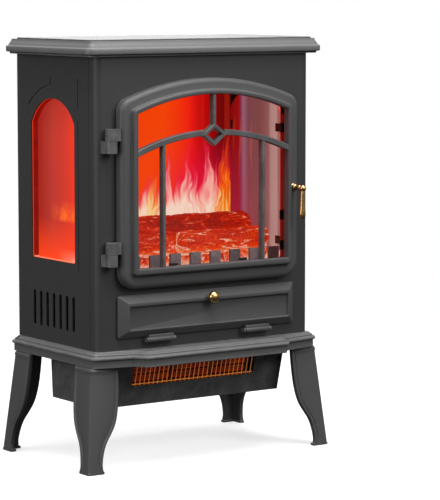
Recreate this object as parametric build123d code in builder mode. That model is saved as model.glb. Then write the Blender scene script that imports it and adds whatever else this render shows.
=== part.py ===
"""Free-standing electric stove heater, with a glazed door, two side windows and a fan heater below.

+X is the stove's right as a person facing it sees it, +Y runs to its back and +Z is up.
The origin is on the floor, under the middle of the whole stove.  All sizes are millimetres.
"""
from build123d import *
from math import sqrt
import os

os.makedirs("parts", exist_ok=True)

# Body
HEIGHT = 600.0
BODY_W = 364.0
BODY_D = 215.2
BODY_LOW = 168.3
BODY_TOP = 576.8
HANDLE_PROUD = 44.4
CAP_BACK_PROUD = 9.7
FRONT = (HANDLE_PROUD - BODY_D - CAP_BACK_PROUD) / 2
BACK = FRONT + BODY_D
MIDDLE = (FRONT + BACK) / 2
HALF_W = BODY_W / 2
SHEET = 2.0
CORNER_R = 12.0
SEAM = FRONT + 20.1
GROOVE_W = 1.6
GROOVE_DEEP = 1.0
FIT_GAP = 0.3
RUNNING = 0.08

# Door
DOOR_BACK = FRONT - 0.9
DOOR_FACE = FRONT - 15.9
BORDER_FACE = FRONT - 23.4
DOOR_HALF = 151.5
DOOR_LOW = 254.0
GLASS_HALF = 128.5
GLASS_LOW = 283.0
GLASS_SPRING = 497.8
GLASS_CROWN = 522.7
LIP_BACK = FRONT - 11.9
GASKET_T = 1.5
GLASS_T = 4.0
HINGE_X = -165.0
HINGE_Y = FRONT - 10.4
HINGE_R = 8.5
HINGE_PIN_R = 2.5
HINGES = ((444.5, 478.0), (288.0, 321.0))
HANDLE_X = 141.3
HANDLE_Z = 384.0
SPINDLE_R = 3.0

# Control flap and what it covers
FLAP_HALF = 151.0
FLAP_LOW = 185.0
FLAP_TOP = 245.0
FLAP_AXIS_Y = FRONT - 8.4
FLAP_AXIS_Z = 181.0
FLAP_BARREL_R = 4.0
FLAP_PIN_R = 1.5
FLAP_TAB_X = 83.0
FLAP_TAB_W = 41.0
FASCIA_FACE = FRONT + 14.0
SWITCH_X = (-104.0, -72.0, -40.0)
SWITCH_Z = 214.0
THERMOSTAT_X = 22.0
DIMMER_X = 84.0
KNOB_R = 15.0
STEM_R = 3.0

# Cap and skirt
CAP_HALF = 200.5
CAP_FRONT = FRONT - 10.6
CAP_BACK = BACK + CAP_BACK_PROUD
PLATE_HALF = 190.3
PLATE_T = 2.0
SKIRT_HALF = 194.0
SKIRT_LOW = 146.0
SKIRT_BACK = BACK + 2.4
SKIRT_HOLE_HALF = 168.0

# Legs
LEG_TOP_X = 193.4
LEG_TOP_Y = 105.3
LEG_SPLAY_X = 14.4
LEG_SPLAY_Y = 14.6
LEG_MIDDLE = MIDDLE - 3.7
LEG_T = 5.5
LEG_BOLT_IN = 21.0
LEG_BOLT_R = 2.5
LEG_BOLT_X = LEG_TOP_X - LEG_BOLT_IN
LEG_BOLT_Y = LEG_TOP_Y - LEG_BOLT_IN + 4.0

# Fire chamber
CHAMBER_FLOOR = 258.0
CHAMBER_ROOF = 560.0
SCREEN_Y = MIDDLE + 50.0
GRATE_Y = MIDDLE - 80.0
WINDOW_Y = MIDDLE + 10.2
WINDOW_HALF = 58.7
WINDOW_LOW = 286.5
WINDOW_SPRING = 481.0
WINDOW_CROWN = 515.8

# Heater below the body
HEATER_HALF = 155.0
HEATER_LOW = 80.5
HEATER_T = 1.5
GRILLE_HALF = 104.0
GRILLE_H = 34.0
GRILLE_RISE = 46.5
FAN_Y = MIDDLE + 12.0
FAN_Z = 122.0
FAN_R = 24.0
FAN_SHAFT_R = 2.5


def keep(piece, node):
    """Labels a finished piece and writes it as its own file."""
    piece.part.label = node
    export_step(piece.part, f"parts/{node}.step")


def facing(y):
    """Plane seen from the front: x to the right, z up, extruding towards the viewer."""
    return Plane.XZ.offset(-y)


def block(x, y, z, mode=Mode.ADD):
    """Box between (low, high) pairs."""
    with Locations((sum(x) / 2, sum(y) / 2, sum(z) / 2)):
        Box(x[1] - x[0], y[1] - y[0], z[1] - z[0], mode=mode)


def rod(start, axis, radius, length, mode=Mode.ADD):
    """Round bar that begins at a point and runs along an axis."""
    with Locations(Plane(origin=start, z_dir=axis)):
        Cylinder(radius, length, align=(Align.CENTER, Align.CENTER, Align.MIN), mode=mode)


def arched(half, low, spring, crown, r_low, r_high):
    """Opening outline with a flat sill and a curved head."""
    with BuildSketch() as outline:
        with BuildLine():
            Polyline((-half, spring), (-half, low), (half, low), (half, spring))
            ThreePointArc((half, spring), (0, crown), (-half, spring))
        make_face()
        fillet(outline.vertices().group_by(Axis.Y)[0], r_low)
        fillet(outline.vertices().group_by(Axis.Y)[-1], r_high)
    return outline.sketch


def arc_height(x, crown, radius):
    """Height of a circular head at a distance x from its middle."""
    return crown - radius + sqrt(radius ** 2 - x ** 2)


# ---------------------------------------------------------------- body casing

def wrapped_plan(inset):
    """Plan of the folded front sheet, closed across its open back."""
    half = HALF_W - inset
    front = FRONT + inset
    with BuildSketch() as plan:
        with BuildLine():
            wall = FilletPolyline((-half, SEAM), (-half, front), (half, front), (half, SEAM),
                                  radius=CORNER_R - inset)
            Line(wall @ 1, wall @ 0)
        make_face()
    return plan.sketch


with BuildPart() as front_shell:
    with BuildSketch(Plane.XY.offset(BODY_LOW)):
        add(wrapped_plan(0))
        add(wrapped_plan(SHEET), mode=Mode.SUBTRACT)
    extrude(amount=BODY_TOP - BODY_LOW)
    with BuildSketch(facing(FRONT + SHEET + 1)):
        add(arched(131.5, 278.0, 500.0, 526.0, 8, 8))
        with Locations((0, 213.5)):
            RectangleRounded(278, 45, 4)
        with Locations((143, 430), (-118, 240.5), (118, 240.5)):
            Circle(3.6)
    extrude(amount=SHEET + 2, mode=Mode.SUBTRACT)
keep(front_shell, "front_shell")


def side_panel(side, name):
    """Side sheet with its arched window, pressed lines and vent slots."""
    outer = side * HALF_W
    out_plane = Plane(origin=(outer, MIDDLE, 0), x_dir=(0, 1, 0), z_dir=(1, 0, 0))
    with BuildPart() as panel:
        block(sorted((outer, outer - side * SHEET)), (SEAM + 0.6, BACK), (BODY_LOW, BODY_TOP))
        window_y = WINDOW_Y - MIDDLE
        with BuildSketch(out_plane):
            with Locations((window_y, 0)):
                add(arched(WINDOW_HALF, WINDOW_LOW, WINDOW_SPRING, WINDOW_CROWN, 3, 2))
        extrude(amount=SHEET + 1, both=True, mode=Mode.SUBTRACT)
        with BuildSketch(out_plane):
            with Locations((window_y - 0.8, 214)):
                with GridLocations(17.8, 1, 7, 1):
                    SlotOverall(51, 7, rotation=90)
        extrude(amount=SHEET + 1, both=True, mode=Mode.SUBTRACT)
        with BuildSketch(out_plane.offset(side * GROOVE_DEEP)):
            with BuildLine() as line:
                arc = ThreePointArc((14.9, 535.2), (48.5, 525.0), (76.5, 504.6))
                Line((14.9, 546.4), arc @ 0)
            trace(line.line, GROOVE_W)
            with Locations((-58.4, 525.0)):
                Rectangle(GROOVE_W, 41)
            with Locations((-58.4, 381.5)):
                Rectangle(GROOVE_W, 211)
        extrude(amount=-2 * side * GROOVE_DEEP, mode=Mode.SUBTRACT)
    keep(panel, name)


side_panel(-1, "left_side_panel")
side_panel(1, "right_side_panel")

BACK_VENT_Z = (214.0, 470.0)
GLAND_X = 150.0
GLAND_Z = 200.0
BACK_SCREWS = ((-172, 545), (-60, 545), (60, 545), (172, 545), (-172, 350), (172, 350), (-172, 185), (172, 185))
SCREW_R = 1.8
SCREW_HEAD_R = 3.6
with BuildPart() as back_panel:
    block((-HALF_W + SHEET, HALF_W - SHEET), (BACK - SHEET, BACK), (BODY_LOW, BODY_TOP))
    with BuildSketch(facing(BACK + 1)):
        for z in BACK_VENT_Z:
            with Locations((0, z)):
                with GridLocations(18, 1, 13, 1):
                    SlotOverall(46, 6, rotation=90)
        with Locations((GLAND_X, GLAND_Z)):
            Circle(6.2)
        with Locations(*BACK_SCREWS):
            Circle(SCREW_R)
    extrude(amount=SHEET + 2, mode=Mode.SUBTRACT)
keep(back_panel, "back_panel")

with BuildPart() as cord_gland:
    rod((GLAND_X, BACK + 6, GLAND_Z), (0, -1, 0), 6.2, 14)
    rod((GLAND_X, BACK, GLAND_Z), (0, 1, 0), 9.5, 3)
    rod((GLAND_X, BACK - SHEET, GLAND_Z), (0, -1, 0), 9.0, 3)
    rod((GLAND_X, BACK + 7, GLAND_Z), (0, -1, 0), 3.6, 16, mode=Mode.SUBTRACT)
keep(cord_gland, "cord_gland")

with BuildPart() as base_plate:
    block((-HALF_W + SHEET, HALF_W - SHEET), (FRONT + SHEET, BACK - SHEET), (BODY_LOW, BODY_LOW + SHEET))
    with BuildSketch(Plane.XY.offset(BODY_LOW + SHEET)):
        with Locations((0, FAN_Y)):
            RectangleRounded(180, 56, 4)
    extrude(amount=-2 * SHEET, mode=Mode.SUBTRACT)
    vertical = base_plate.edges().filter_by(Axis.Z).group_by(Axis.Y)[0]
    fillet(vertical, CORNER_R - SHEET)
keep(base_plate, "base_plate")


# ---------------------------------------------------------------- cap

def cap_plan(half, front, back, radius):
    """Rounded rectangle between a front and a back line."""
    with BuildSketch() as plan:
        with Locations((0, (front + back) / 2)):
            RectangleRounded(2 * half, back - front, radius)
    return plan.sketch


with BuildPart() as top_cap:
    cap_steps = ((579.3, 0.0), (587.0, 0.0), (588.6, 1.0), (590.0, 3.6), (593.5, 6.6), (598.0, 8.4))
    with BuildSketch(Plane.XY.offset(BODY_TOP)):
        add(cap_plan(CAP_HALF - 8, CAP_FRONT + 3, CAP_BACK - 3, 8))
    extrude(amount=2.5)
    for (low, inset), (high, next_inset) in zip(cap_steps, cap_steps[1:]):
        with BuildSketch(Plane.XY.offset(low)):
            add(cap_plan(CAP_HALF - inset, CAP_FRONT + inset, CAP_BACK - inset, 14 - inset))
        with BuildSketch(Plane.XY.offset(high)):
            add(cap_plan(CAP_HALF - next_inset, CAP_FRONT + next_inset, CAP_BACK - next_inset,
                         14 - next_inset))
        loft()
    block((-174, 174), (FRONT + 8, BACK - 8), (BODY_TOP, 595.5), mode=Mode.SUBTRACT)
keep(top_cap, "top_cap")

with BuildPart() as top_plate:
    with BuildSketch(Plane.XY.offset(HEIGHT - PLATE_T)):
        add(cap_plan(PLATE_HALF, FRONT + 2.1, BACK - 8.1, 9))
    extrude(amount=PLATE_T)
    fillet(top_plate.edges().group_by(Axis.Z)[-1], 0.9)
keep(top_plate, "top_plate")


# ---------------------------------------------------------------- skirt

LEDGE_HALF = 118.0
LEDGE_END = 138.0
LEDGE_FRONT = FRONT - 35.4
WING_FRONT = FRONT - 17.4
SKIRT_CORNER_FRONT = FRONT - 8.4


def skirt_plan(inset):
    """Plan of the skirt: bowed ledge in front, canted wings and clipped back corners."""
    cut = 11.0
    right = ((0, LEDGE_FRONT), (LEDGE_HALF, LEDGE_FRONT), (LEDGE_HALF + 5, LEDGE_FRONT + 4),
             (LEDGE_END - 5, WING_FRONT - 4), (LEDGE_END, WING_FRONT),
             (SKIRT_HALF - cut, SKIRT_CORNER_FRONT), (SKIRT_HALF, SKIRT_CORNER_FRONT + cut),
             (SKIRT_HALF, SKIRT_BACK - cut), (SKIRT_HALF - cut, SKIRT_BACK), (0, SKIRT_BACK))
    left = tuple((-x, y) for x, y in reversed(right[1:-1]))
    with BuildSketch() as plan:
        with BuildLine():
            Polyline(*right, *left, close=True)
        make_face()
        if inset:
            offset(amount=-inset, kind=Kind.INTERSECTION, mode=Mode.REPLACE)
    return plan.sketch


with BuildPart() as base_skirt:
    skirt_bands = ((SKIRT_LOW, 151.0, 4.0), (151.0, 158.3, 0.0), (158.3, 160.0, 2.2),
                   (160.0, 161.2, 4.4), (161.2, 163.6, 3.4), (163.6, 166.2, 6.5),
                   (166.2, BODY_LOW, 9.0))
    for low, high, inset in skirt_bands:
        with BuildSketch(Plane.XY.offset(low)):
            add(skirt_plan(inset))
        extrude(amount=high - low)
    with BuildSketch(Plane.XY.offset(SKIRT_LOW)) as throat:
        with Locations((0, MIDDLE)):
            Rectangle(2 * SKIRT_HOLE_HALF, BODY_D - 22)
        chamfer(throat.vertices(), 22)
    extrude(amount=BODY_LOW - SKIRT_LOW, mode=Mode.SUBTRACT)
    for x_side in (-1, 1):
        for y_side in (-1, 1):
            rod((x_side * LEG_BOLT_X, LEG_MIDDLE + y_side * LEG_BOLT_Y, SKIRT_LOW), (0, 0, 1), LEG_BOLT_R, 14,
                mode=Mode.SUBTRACT)
keep(base_skirt, "base_skirt")


# ---------------------------------------------------------------- legs

LEG_WIDTHS = ((146.0, 43.0), (128.0, 44.6), (100.0, 45.5), (80.0, 44.4), (66.0, 41.2), (54.0, 35.0),
              (42.0, 27.6), (30.0, 24.0), (14.0, 22.0), (4.0, 24.4), (0.0, 26.0))
FOOT = 25.6
LUG_T = 5.0


def leg(x_side, y_side, name):
    """Cast angle leg, splayed outwards, with curved inner edges and a closed foot."""
    with BuildPart() as casting:
        for (high, wide), (low, next_wide) in zip(LEG_WIDTHS, LEG_WIDTHS[1:]):
            for z, width in ((high, wide), (low, next_wide)):
                drop = (SKIRT_LOW - z) / SKIRT_LOW
                x = x_side * (LEG_TOP_X + LEG_SPLAY_X * drop)
                y = LEG_MIDDLE + y_side * (LEG_TOP_Y + LEG_SPLAY_Y * drop)
                with BuildSketch(Plane.XY.offset(z)):
                    with BuildLine():
                        Polyline((x, y), (x, y - y_side * width),
                                 (x - x_side * LEG_T, y - y_side * width),
                                 (x - x_side * LEG_T, y - y_side * LEG_T),
                                 (x - x_side * width, y - y_side * LEG_T),
                                 (x - x_side * width, y), close=True)
                    make_face()
            loft(ruled=True)
        foot_x = x_side * (LEG_TOP_X + LEG_SPLAY_X - 0.4)
        foot_y = LEG_MIDDLE + y_side * (LEG_TOP_Y + LEG_SPLAY_Y - 0.4)
        block(sorted((foot_x, foot_x - x_side * FOOT)), sorted((foot_y, foot_y - y_side * FOOT)), (0, 4))
        lug_x = sorted((x_side * (LEG_TOP_X - 3), x_side * (LEG_TOP_X - 36)))
        lug_y = sorted((LEG_MIDDLE + y_side * (LEG_TOP_Y - 3), LEG_MIDDLE + y_side * (LEG_TOP_Y - 34)))
        block(lug_x, lug_y, (SKIRT_LOW - LUG_T, SKIRT_LOW))
        rod((x_side * LEG_BOLT_X, LEG_MIDDLE + y_side * LEG_BOLT_Y, SKIRT_LOW), (0, 0, -1), LEG_BOLT_R,
            LUG_T + 1, mode=Mode.SUBTRACT)
    keep(casting, name)


for y_side, row in ((-1, "front"), (1, "back")):
    for x_side, hand in ((-1, "left"), (1, "right")):
        leg(x_side, y_side, f"{row}_{hand}_leg")

with BuildPart() as leg_bolts:
    for x_side in (-1, 1):
        for y_side in (-1, 1):
            place = (x_side * LEG_BOLT_X, LEG_MIDDLE + y_side * LEG_BOLT_Y)
            rod((*place, SKIRT_LOW - LUG_T), (0, 0, 1), LEG_BOLT_R, 17)
            with BuildSketch(Plane.XY.offset(SKIRT_LOW - LUG_T)):
                with Locations(place):
                    RegularPolygon(4.6, 6)
            extrude(amount=-4)
keep(leg_bolts, "leg_bolts")


# ---------------------------------------------------------------- windows in the sides

PANE_T = 3.0
CLIP_T = 1.5
JAMB_DEEP = 9.0
JAMB_T = 1.5
PANE_OUT = HALF_W - SHEET - JAMB_DEEP


def window_plane(x):
    """Plane of a side window: y to the right, z up, centred on the window."""
    return Plane(origin=(x, WINDOW_Y, 0), x_dir=(0, 1, 0), z_dir=(1, 0, 0))


# Each window is a lined recess; its pane lies against the inner end of the lining.
with BuildPart() as window_jambs:
    for side in (-1, 1):
        with BuildSketch(window_plane(side * (HALF_W - SHEET))):
            add(arched(WINDOW_HALF + JAMB_T, WINDOW_LOW - JAMB_T, WINDOW_SPRING + 1, WINDOW_CROWN + JAMB_T, 4, 3))
            add(arched(WINDOW_HALF, WINDOW_LOW, WINDOW_SPRING, WINDOW_CROWN, 3, 2), mode=Mode.SUBTRACT)
        extrude(amount=-side * JAMB_DEEP)
keep(window_jambs, "window_jambs")


def window_glass(side, name):
    """Pane behind the lining of a side window."""
    with BuildPart() as pane:
        with BuildSketch(window_plane(side * PANE_OUT)):
            add(arched(WINDOW_HALF + 6, WINDOW_LOW - 7, WINDOW_SPRING + 5, WINDOW_CROWN + 7, 3, 3))
        extrude(amount=-side * PANE_T)
    keep(pane, name)


window_glass(-1, "left_window_glass")
window_glass(1, "right_window_glass")

with BuildPart() as window_clips:
    for side in (-1, 1):
        wall = side * (HALF_W - SHEET)
        pane_face = side * (PANE_OUT - PANE_T)
        for z in (300.0, 466.0):
            for y_side in (-1, 1):
                reach = sorted(WINDOW_Y + y_side * (WINDOW_HALF + far) for far in (-3, 17))
                foot = sorted(WINDOW_Y + y_side * (WINDOW_HALF + far) for far in (8, 17))
                block(sorted((pane_face, pane_face - side * CLIP_T)), reach, (z - 6, z + 6))
                block(sorted((wall, pane_face)), foot, (z - 6, z + 6))
                head = (pane_face - side * CLIP_T, WINDOW_Y + y_side * (WINDOW_HALF + 12.5), z)
                rod(head, (-side, 0, 0), 3.2, 1.8)
keep(window_clips, "window_clips")

# ---------------------------------------------------------------- door

RIM_STEP = 6.5
with BuildPart() as door_frame:
    with BuildSketch(facing(DOOR_BACK)):
        add(arched(DOOR_HALF, DOOR_LOW, 514.0, 545.0, 25, 18))
    extrude(amount=DOOR_BACK - DOOR_FACE)
    fillet(door_frame.faces().sort_by(Axis.Y)[0].edges(), 7.0)
    with BuildSketch(facing(DOOR_FACE)):
        add(arched(GLASS_HALF + RIM_STEP, GLASS_LOW - 9, GLASS_SPRING + 5.6, GLASS_CROWN + RIM_STEP, 5, 5))
    extrude(amount=DOOR_FACE - BORDER_FACE)
    with BuildSketch(facing(DOOR_BACK + 1)):
        add(arched(GLASS_HALF, GLASS_LOW, GLASS_SPRING, GLASS_CROWN, 1, 1))
    extrude(amount=DOOR_BACK + 2 - BORDER_FACE, mode=Mode.SUBTRACT)
    with BuildSketch(facing(DOOR_BACK)):
        add(arched(GLASS_HALF + 5.7, GLASS_LOW - 5.7, GLASS_SPRING + 5, GLASS_CROWN + 5.7, 2, 2))
    extrude(amount=DOOR_BACK - LIP_BACK, mode=Mode.SUBTRACT)
    with BuildSketch(facing(DOOR_BACK)):
        add(arched(GLASS_HALF + 14, GLASS_LOW - 14, GLASS_SPRING + 11, GLASS_CROWN + 12, 3, 3))
        with Locations((HANDLE_X, HANDLE_Z)):
            Circle(8)
    extrude(amount=DOOR_BACK - LIP_BACK - GASKET_T - GLASS_T, mode=Mode.SUBTRACT)
    rod((HANDLE_X, DOOR_BACK, HANDLE_Z), (0, -1, 0), SPINDLE_R + RUNNING, 20, mode=Mode.SUBTRACT)
keep(door_frame, "door_frame")

BAR_BACK = LIP_BACK - 0.6
BAR_FACE = FRONT - 22.4
ARCH_BAR_CROWN = 468.5
ARCH_BAR_R = 330.0
ARCH_BAR_W = 8.0
UPRIGHT_X = 85.0
UPRIGHT_W = 4.0
DIAMOND_Z = 465.5
with BuildPart() as door_muntins:
    with BuildSketch(facing(BAR_BACK)):
        with BuildLine():
            edge = GLASS_HALF
            half = ARCH_BAR_W / 2
            top = arc_height(edge, ARCH_BAR_CROWN + half, ARCH_BAR_R + half)
            under = arc_height(edge, ARCH_BAR_CROWN - half, ARCH_BAR_R - half)
            ThreePointArc((-edge, top), (0, ARCH_BAR_CROWN + half), (edge, top))
            Line((edge, top), (edge, under))
            ThreePointArc((edge, under), (0, ARCH_BAR_CROWN - half), (-edge, under))
            Line((-edge, under), (-edge, top))
        make_face()
        bar_top = arc_height(UPRIGHT_X, ARCH_BAR_CROWN, ARCH_BAR_R)
        with Locations((-UPRIGHT_X, (bar_top + GLASS_LOW) / 2), (UPRIGHT_X, (bar_top + GLASS_LOW) / 2)):
            Rectangle(UPRIGHT_W, bar_top - GLASS_LOW)
        with Locations((0, (DIAMOND_Z + GLASS_CROWN - 0.2) / 2)):
            Rectangle(UPRIGHT_W, GLASS_CROWN - 0.2 - DIAMOND_Z)
        with BuildLine():
            Polyline((-17, DIAMOND_Z), (0, DIAMOND_Z + 16), (17, DIAMOND_Z), (0, DIAMOND_Z - 16), close=True)
        make_face()
        with BuildLine():
            Polyline((-10, DIAMOND_Z), (0, DIAMOND_Z + 9.4), (10, DIAMOND_Z), (0, DIAMOND_Z - 9.4), close=True)
        make_face(mode=Mode.SUBTRACT)
    extrude(amount=BAR_BACK - BAR_FACE)
keep(door_muntins, "door_muntins")

GASKET_IN = 0.8
with BuildPart() as door_gasket:
    with BuildSketch(facing(LIP_BACK + GASKET_T)):
        add(arched(GLASS_HALF + 5.2, GLASS_LOW - 5.2, GLASS_SPRING + 4.6, GLASS_CROWN + 5.2, 2, 2))
        add(arched(GLASS_HALF + GASKET_IN, GLASS_LOW - GASKET_IN, GLASS_SPRING + 0.7,
                   GLASS_CROWN + GASKET_IN, 1, 1), mode=Mode.SUBTRACT)
    extrude(amount=GASKET_T)
keep(door_gasket, "door_gasket")

PANE_BACK = LIP_BACK + GASKET_T + GLASS_T
with BuildPart() as door_glass:
    with BuildSketch(facing(PANE_BACK)):
        add(arched(GLASS_HALF + 5.2, GLASS_LOW - 5.2, GLASS_SPRING + 4.6, GLASS_CROWN + 5.2, 2, 2))
    extrude(amount=GLASS_T)
keep(door_glass, "door_glass")

with BuildPart() as door_glass_clips:
    for side in (-1, 1):
        for z in (300.0, 344.0, 470.0):
            x = sorted((side * (GLASS_HALF - 3), side * (GLASS_HALF + 13.5)))
            block(x, (PANE_BACK, PANE_BACK + 1.5), (z - 7, z + 7))
            rod((side * (GLASS_HALF + 9.5), PANE_BACK + 1.5, z), (0, 1, 0), 2.8, 1.6)
    for x in (-60.0, 60.0):
        block((x - 7, x + 7), (PANE_BACK, PANE_BACK + 1.5), (GLASS_LOW - 13.5, GLASS_LOW + 3))
        rod((x, PANE_BACK + 1.5, GLASS_LOW - 9.5), (0, 1, 0), 2.8, 1.6)
keep(door_glass_clips, "door_glass_clips")

with BuildPart() as door_hinge_knuckles:
    for low, high in HINGES:
        mid = (low + high) / 2 + FIT_GAP / 2
        rod((HINGE_X, HINGE_Y, mid), (0, 0, 1), HINGE_R, high - mid)
        block((HINGE_X, -DOOR_HALF), (HINGE_Y - 4, HINGE_Y + 4), (mid, high))
        rod((HINGE_X, HINGE_Y, mid), (0, 0, 1), HINGE_PIN_R + RUNNING, high - mid - 3, mode=Mode.SUBTRACT)
keep(door_hinge_knuckles, "door_hinge_knuckles")

# Handle: rose on the door; lever, spindle and nut turn together.
ROSE_FACE = DOOR_FACE - 3.5
LEVER_BACK = ROSE_FACE - FIT_GAP
BALL_R = 4.9
BALL_Y = FRONT - HANDLE_PROUD + BALL_R
with BuildPart() as handle_rose:
    rod((HANDLE_X, DOOR_FACE, HANDLE_Z), (0, -1, 0), 6.0, 3.5)
    rod((HANDLE_X, DOOR_FACE, HANDLE_Z), (0, -1, 0), SPINDLE_R + RUNNING, 4, mode=Mode.SUBTRACT)
    fillet(handle_rose.edges().filter_by(GeomType.CIRCLE).group_by(Axis.Y)[0].sort_by(SortBy.RADIUS)[-1], 1.2)
keep(handle_rose, "handle_rose")

SHANK_LOW = 340.0
with BuildPart() as handle_lever:
    rod((HANDLE_X, LEVER_BACK, HANDLE_Z), (0, -1, 0), 4.6, LEVER_BACK - BALL_Y)
    with Locations((HANDLE_X, BALL_Y, HANDLE_Z)):
        Sphere(BALL_R)
    with BuildSketch(Plane.XY.offset(HANDLE_Z - 2)):
        with Locations((HANDLE_X, BALL_Y)):
            Ellipse(3.2, 3.0)
    with BuildSketch(Plane.XY.offset(SHANK_LOW + 4)):
        with Locations((HANDLE_X, BALL_Y)):
            Ellipse(4.9, 3.6)
    loft()
    with BuildSketch(Plane.XY.offset(SHANK_LOW + 4)):
        with Locations((HANDLE_X, BALL_Y)):
            Ellipse(4.9, 3.6)
    with BuildSketch(Plane.XY.offset(SHANK_LOW)):
        with Locations((HANDLE_X, BALL_Y)):
            Ellipse(3.2, 2.2)
    loft()
    rod((HANDLE_X, LEVER_BACK, HANDLE_Z), (0, -1, 0), SPINDLE_R, 8, mode=Mode.SUBTRACT)
keep(handle_lever, "handle_lever")

NUT_FACE = DOOR_BACK - 1.2
with BuildPart() as handle_spindle:
    rod((HANDLE_X, NUT_FACE, HANDLE_Z), (0, -1, 0), SPINDLE_R, NUT_FACE - LEVER_BACK + 8)
    with BuildSketch(facing(NUT_FACE)):
        with Locations((HANDLE_X, HANDLE_Z)):
            RegularPolygon(5.5, 6)
    extrude(amount=3.4)
keep(handle_spindle, "handle_spindle")

# ---------------------------------------------------------------- control flap

with BuildPart() as control_flap:
    flap_mid = (FLAP_LOW + FLAP_TOP) / 2
    flap_h = FLAP_TOP - FLAP_LOW
    with BuildSketch(facing(DOOR_BACK)):
        with Locations((0, flap_mid)):
            RectangleRounded(2 * FLAP_HALF, flap_h, 3)
    extrude(amount=3.0)
    with BuildSketch(facing(DOOR_BACK - 3.0)):
        with Locations((0, flap_mid)):
            Rectangle(2 * FLAP_HALF - 2, flap_h - 2)
    with BuildSketch(facing(DOOR_BACK - 11.6)):
        with Locations((0, flap_mid)):
            Rectangle(2 * FLAP_HALF - 25, flap_h - 21)
    loft()
    with BuildSketch(facing(DOOR_BACK - 11.6)):
        with Locations((0, flap_mid - 2)):
            RectangleRounded(273, 33.4, 2)
    extrude(amount=-4.0, mode=Mode.SUBTRACT)
    for side in (-1, 1):
        x = side * FLAP_TAB_X
        span = (x - FLAP_TAB_W / 2, x + FLAP_TAB_W / 2)
        rod((span[0], FLAP_AXIS_Y, FLAP_AXIS_Z), (1, 0, 0), FLAP_BARREL_R, FLAP_TAB_W)
        block(span, (FLAP_AXIS_Y - 2.4, FLAP_AXIS_Y + FLAP_BARREL_R), (FLAP_AXIS_Z, FLAP_LOW + 3))
        rod((span[0] - 1, FLAP_AXIS_Y, FLAP_AXIS_Z), (1, 0, 0), FLAP_PIN_R + RUNNING, FLAP_TAB_W + 2,
            mode=Mode.SUBTRACT)
keep(control_flap, "control_flap")

FLAP_KNOB_Z = 235.0
FLAP_KNOB_Y = FRONT - 18.0
with BuildPart() as flap_knob:
    with Locations((0, FLAP_KNOB_Y, FLAP_KNOB_Z)):
        Sphere(8.6)
    rod((0, FLAP_KNOB_Y, FLAP_KNOB_Z), (0, 1, 0), 3.4, 12)
    add(control_flap.part, mode=Mode.SUBTRACT)
keep(flap_knob, "flap_knob")

EAR_T = 3.0
with BuildPart() as hinge_brackets:
    for low, high in HINGES:
        mid = (low + high) / 2 - FIT_GAP / 2
        rod((HINGE_X, HINGE_Y, low), (0, 0, 1), HINGE_R, mid - low)
        block((HINGE_X - 11, HINGE_X + 6), (HINGE_Y, FRONT), (low, mid))
        rod((HINGE_X, HINGE_Y, low + 3), (0, 0, 1), HINGE_PIN_R, mid - low, mode=Mode.SUBTRACT)
    for tab in (-FLAP_TAB_X, FLAP_TAB_X):
        for end in (-1, 1):
            inner = tab + end * (FLAP_TAB_W / 2 + 0.4)
            x = sorted((inner, inner + end * EAR_T))
            rod((x[0], FLAP_AXIS_Y, FLAP_AXIS_Z), (1, 0, 0), 3.3, EAR_T)
            block(x, (FLAP_AXIS_Y, FRONT), (FLAP_AXIS_Z - 3.3, FLAP_AXIS_Z + 3.0))
            rod((x[0] - 1, FLAP_AXIS_Y, FLAP_AXIS_Z), (1, 0, 0), FLAP_PIN_R, EAR_T + 2, mode=Mode.SUBTRACT)
keep(hinge_brackets, "hinge_brackets")

with BuildPart() as hinge_pins:
    for low, high in HINGES:
        rod((HINGE_X, HINGE_Y, low + 3), (0, 0, 1), HINGE_PIN_R, high - low - 7)
    for tab in (-FLAP_TAB_X, FLAP_TAB_X):
        reach = FLAP_TAB_W / 2 + 0.4 + EAR_T
        rod((tab - reach, FLAP_AXIS_Y, FLAP_AXIS_Z), (1, 0, 0), FLAP_PIN_R, 2 * reach)
keep(hinge_pins, "hinge_pins")

with BuildPart() as catch_magnets:
    for x, z in ((143, 430), (-118, 240.5), (118, 240.5)):
        rod((x, FRONT - 0.3, z), (0, 1, 0), 3.6, 8)
keep(catch_magnets, "catch_magnets")

# ---------------------------------------------------------------- controls behind the flap

FASCIA_T = 1.5
KNOBS = (THERMOSTAT_X, DIMMER_X)
with BuildPart() as control_fascia:
    block((-150, 150), (FASCIA_FACE, FASCIA_FACE + FASCIA_T), (187, 247))
    for side in (-1, 1):
        block(sorted((side * 150, side * 148.5)), (FRONT + SHEET, FASCIA_FACE), (187, 236))
    with BuildSketch(facing(FASCIA_FACE + FASCIA_T)):
        with Locations(*[(x, SWITCH_Z) for x in SWITCH_X]):
            Rectangle(13.2, 22.8)
        with Locations(*[(x, SWITCH_Z) for x in KNOBS]):
            Circle(5.0)
    extrude(amount=FASCIA_T, mode=Mode.SUBTRACT)
keep(control_fascia, "control_fascia")

with BuildPart() as switch_bodies:
    for x in SWITCH_X:
        with BuildSketch(facing(FASCIA_FACE)):
            with Locations((x, SWITCH_Z)):
                Rectangle(17.5, 27)
                Rectangle(13.2, 22.8, mode=Mode.SUBTRACT)
        extrude(amount=1.6)
        with BuildSketch(facing(FASCIA_FACE + FASCIA_T + 22)):
            with Locations((x, SWITCH_Z)):
                Rectangle(17, 27)
        extrude(amount=22)
        block((x - 6.6, x + 6.6), (FASCIA_FACE, FASCIA_FACE + 9), (SWITCH_Z - 11.4, SWITCH_Z + 11.4),
              mode=Mode.SUBTRACT)
keep(switch_bodies, "switch_bodies")

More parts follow.
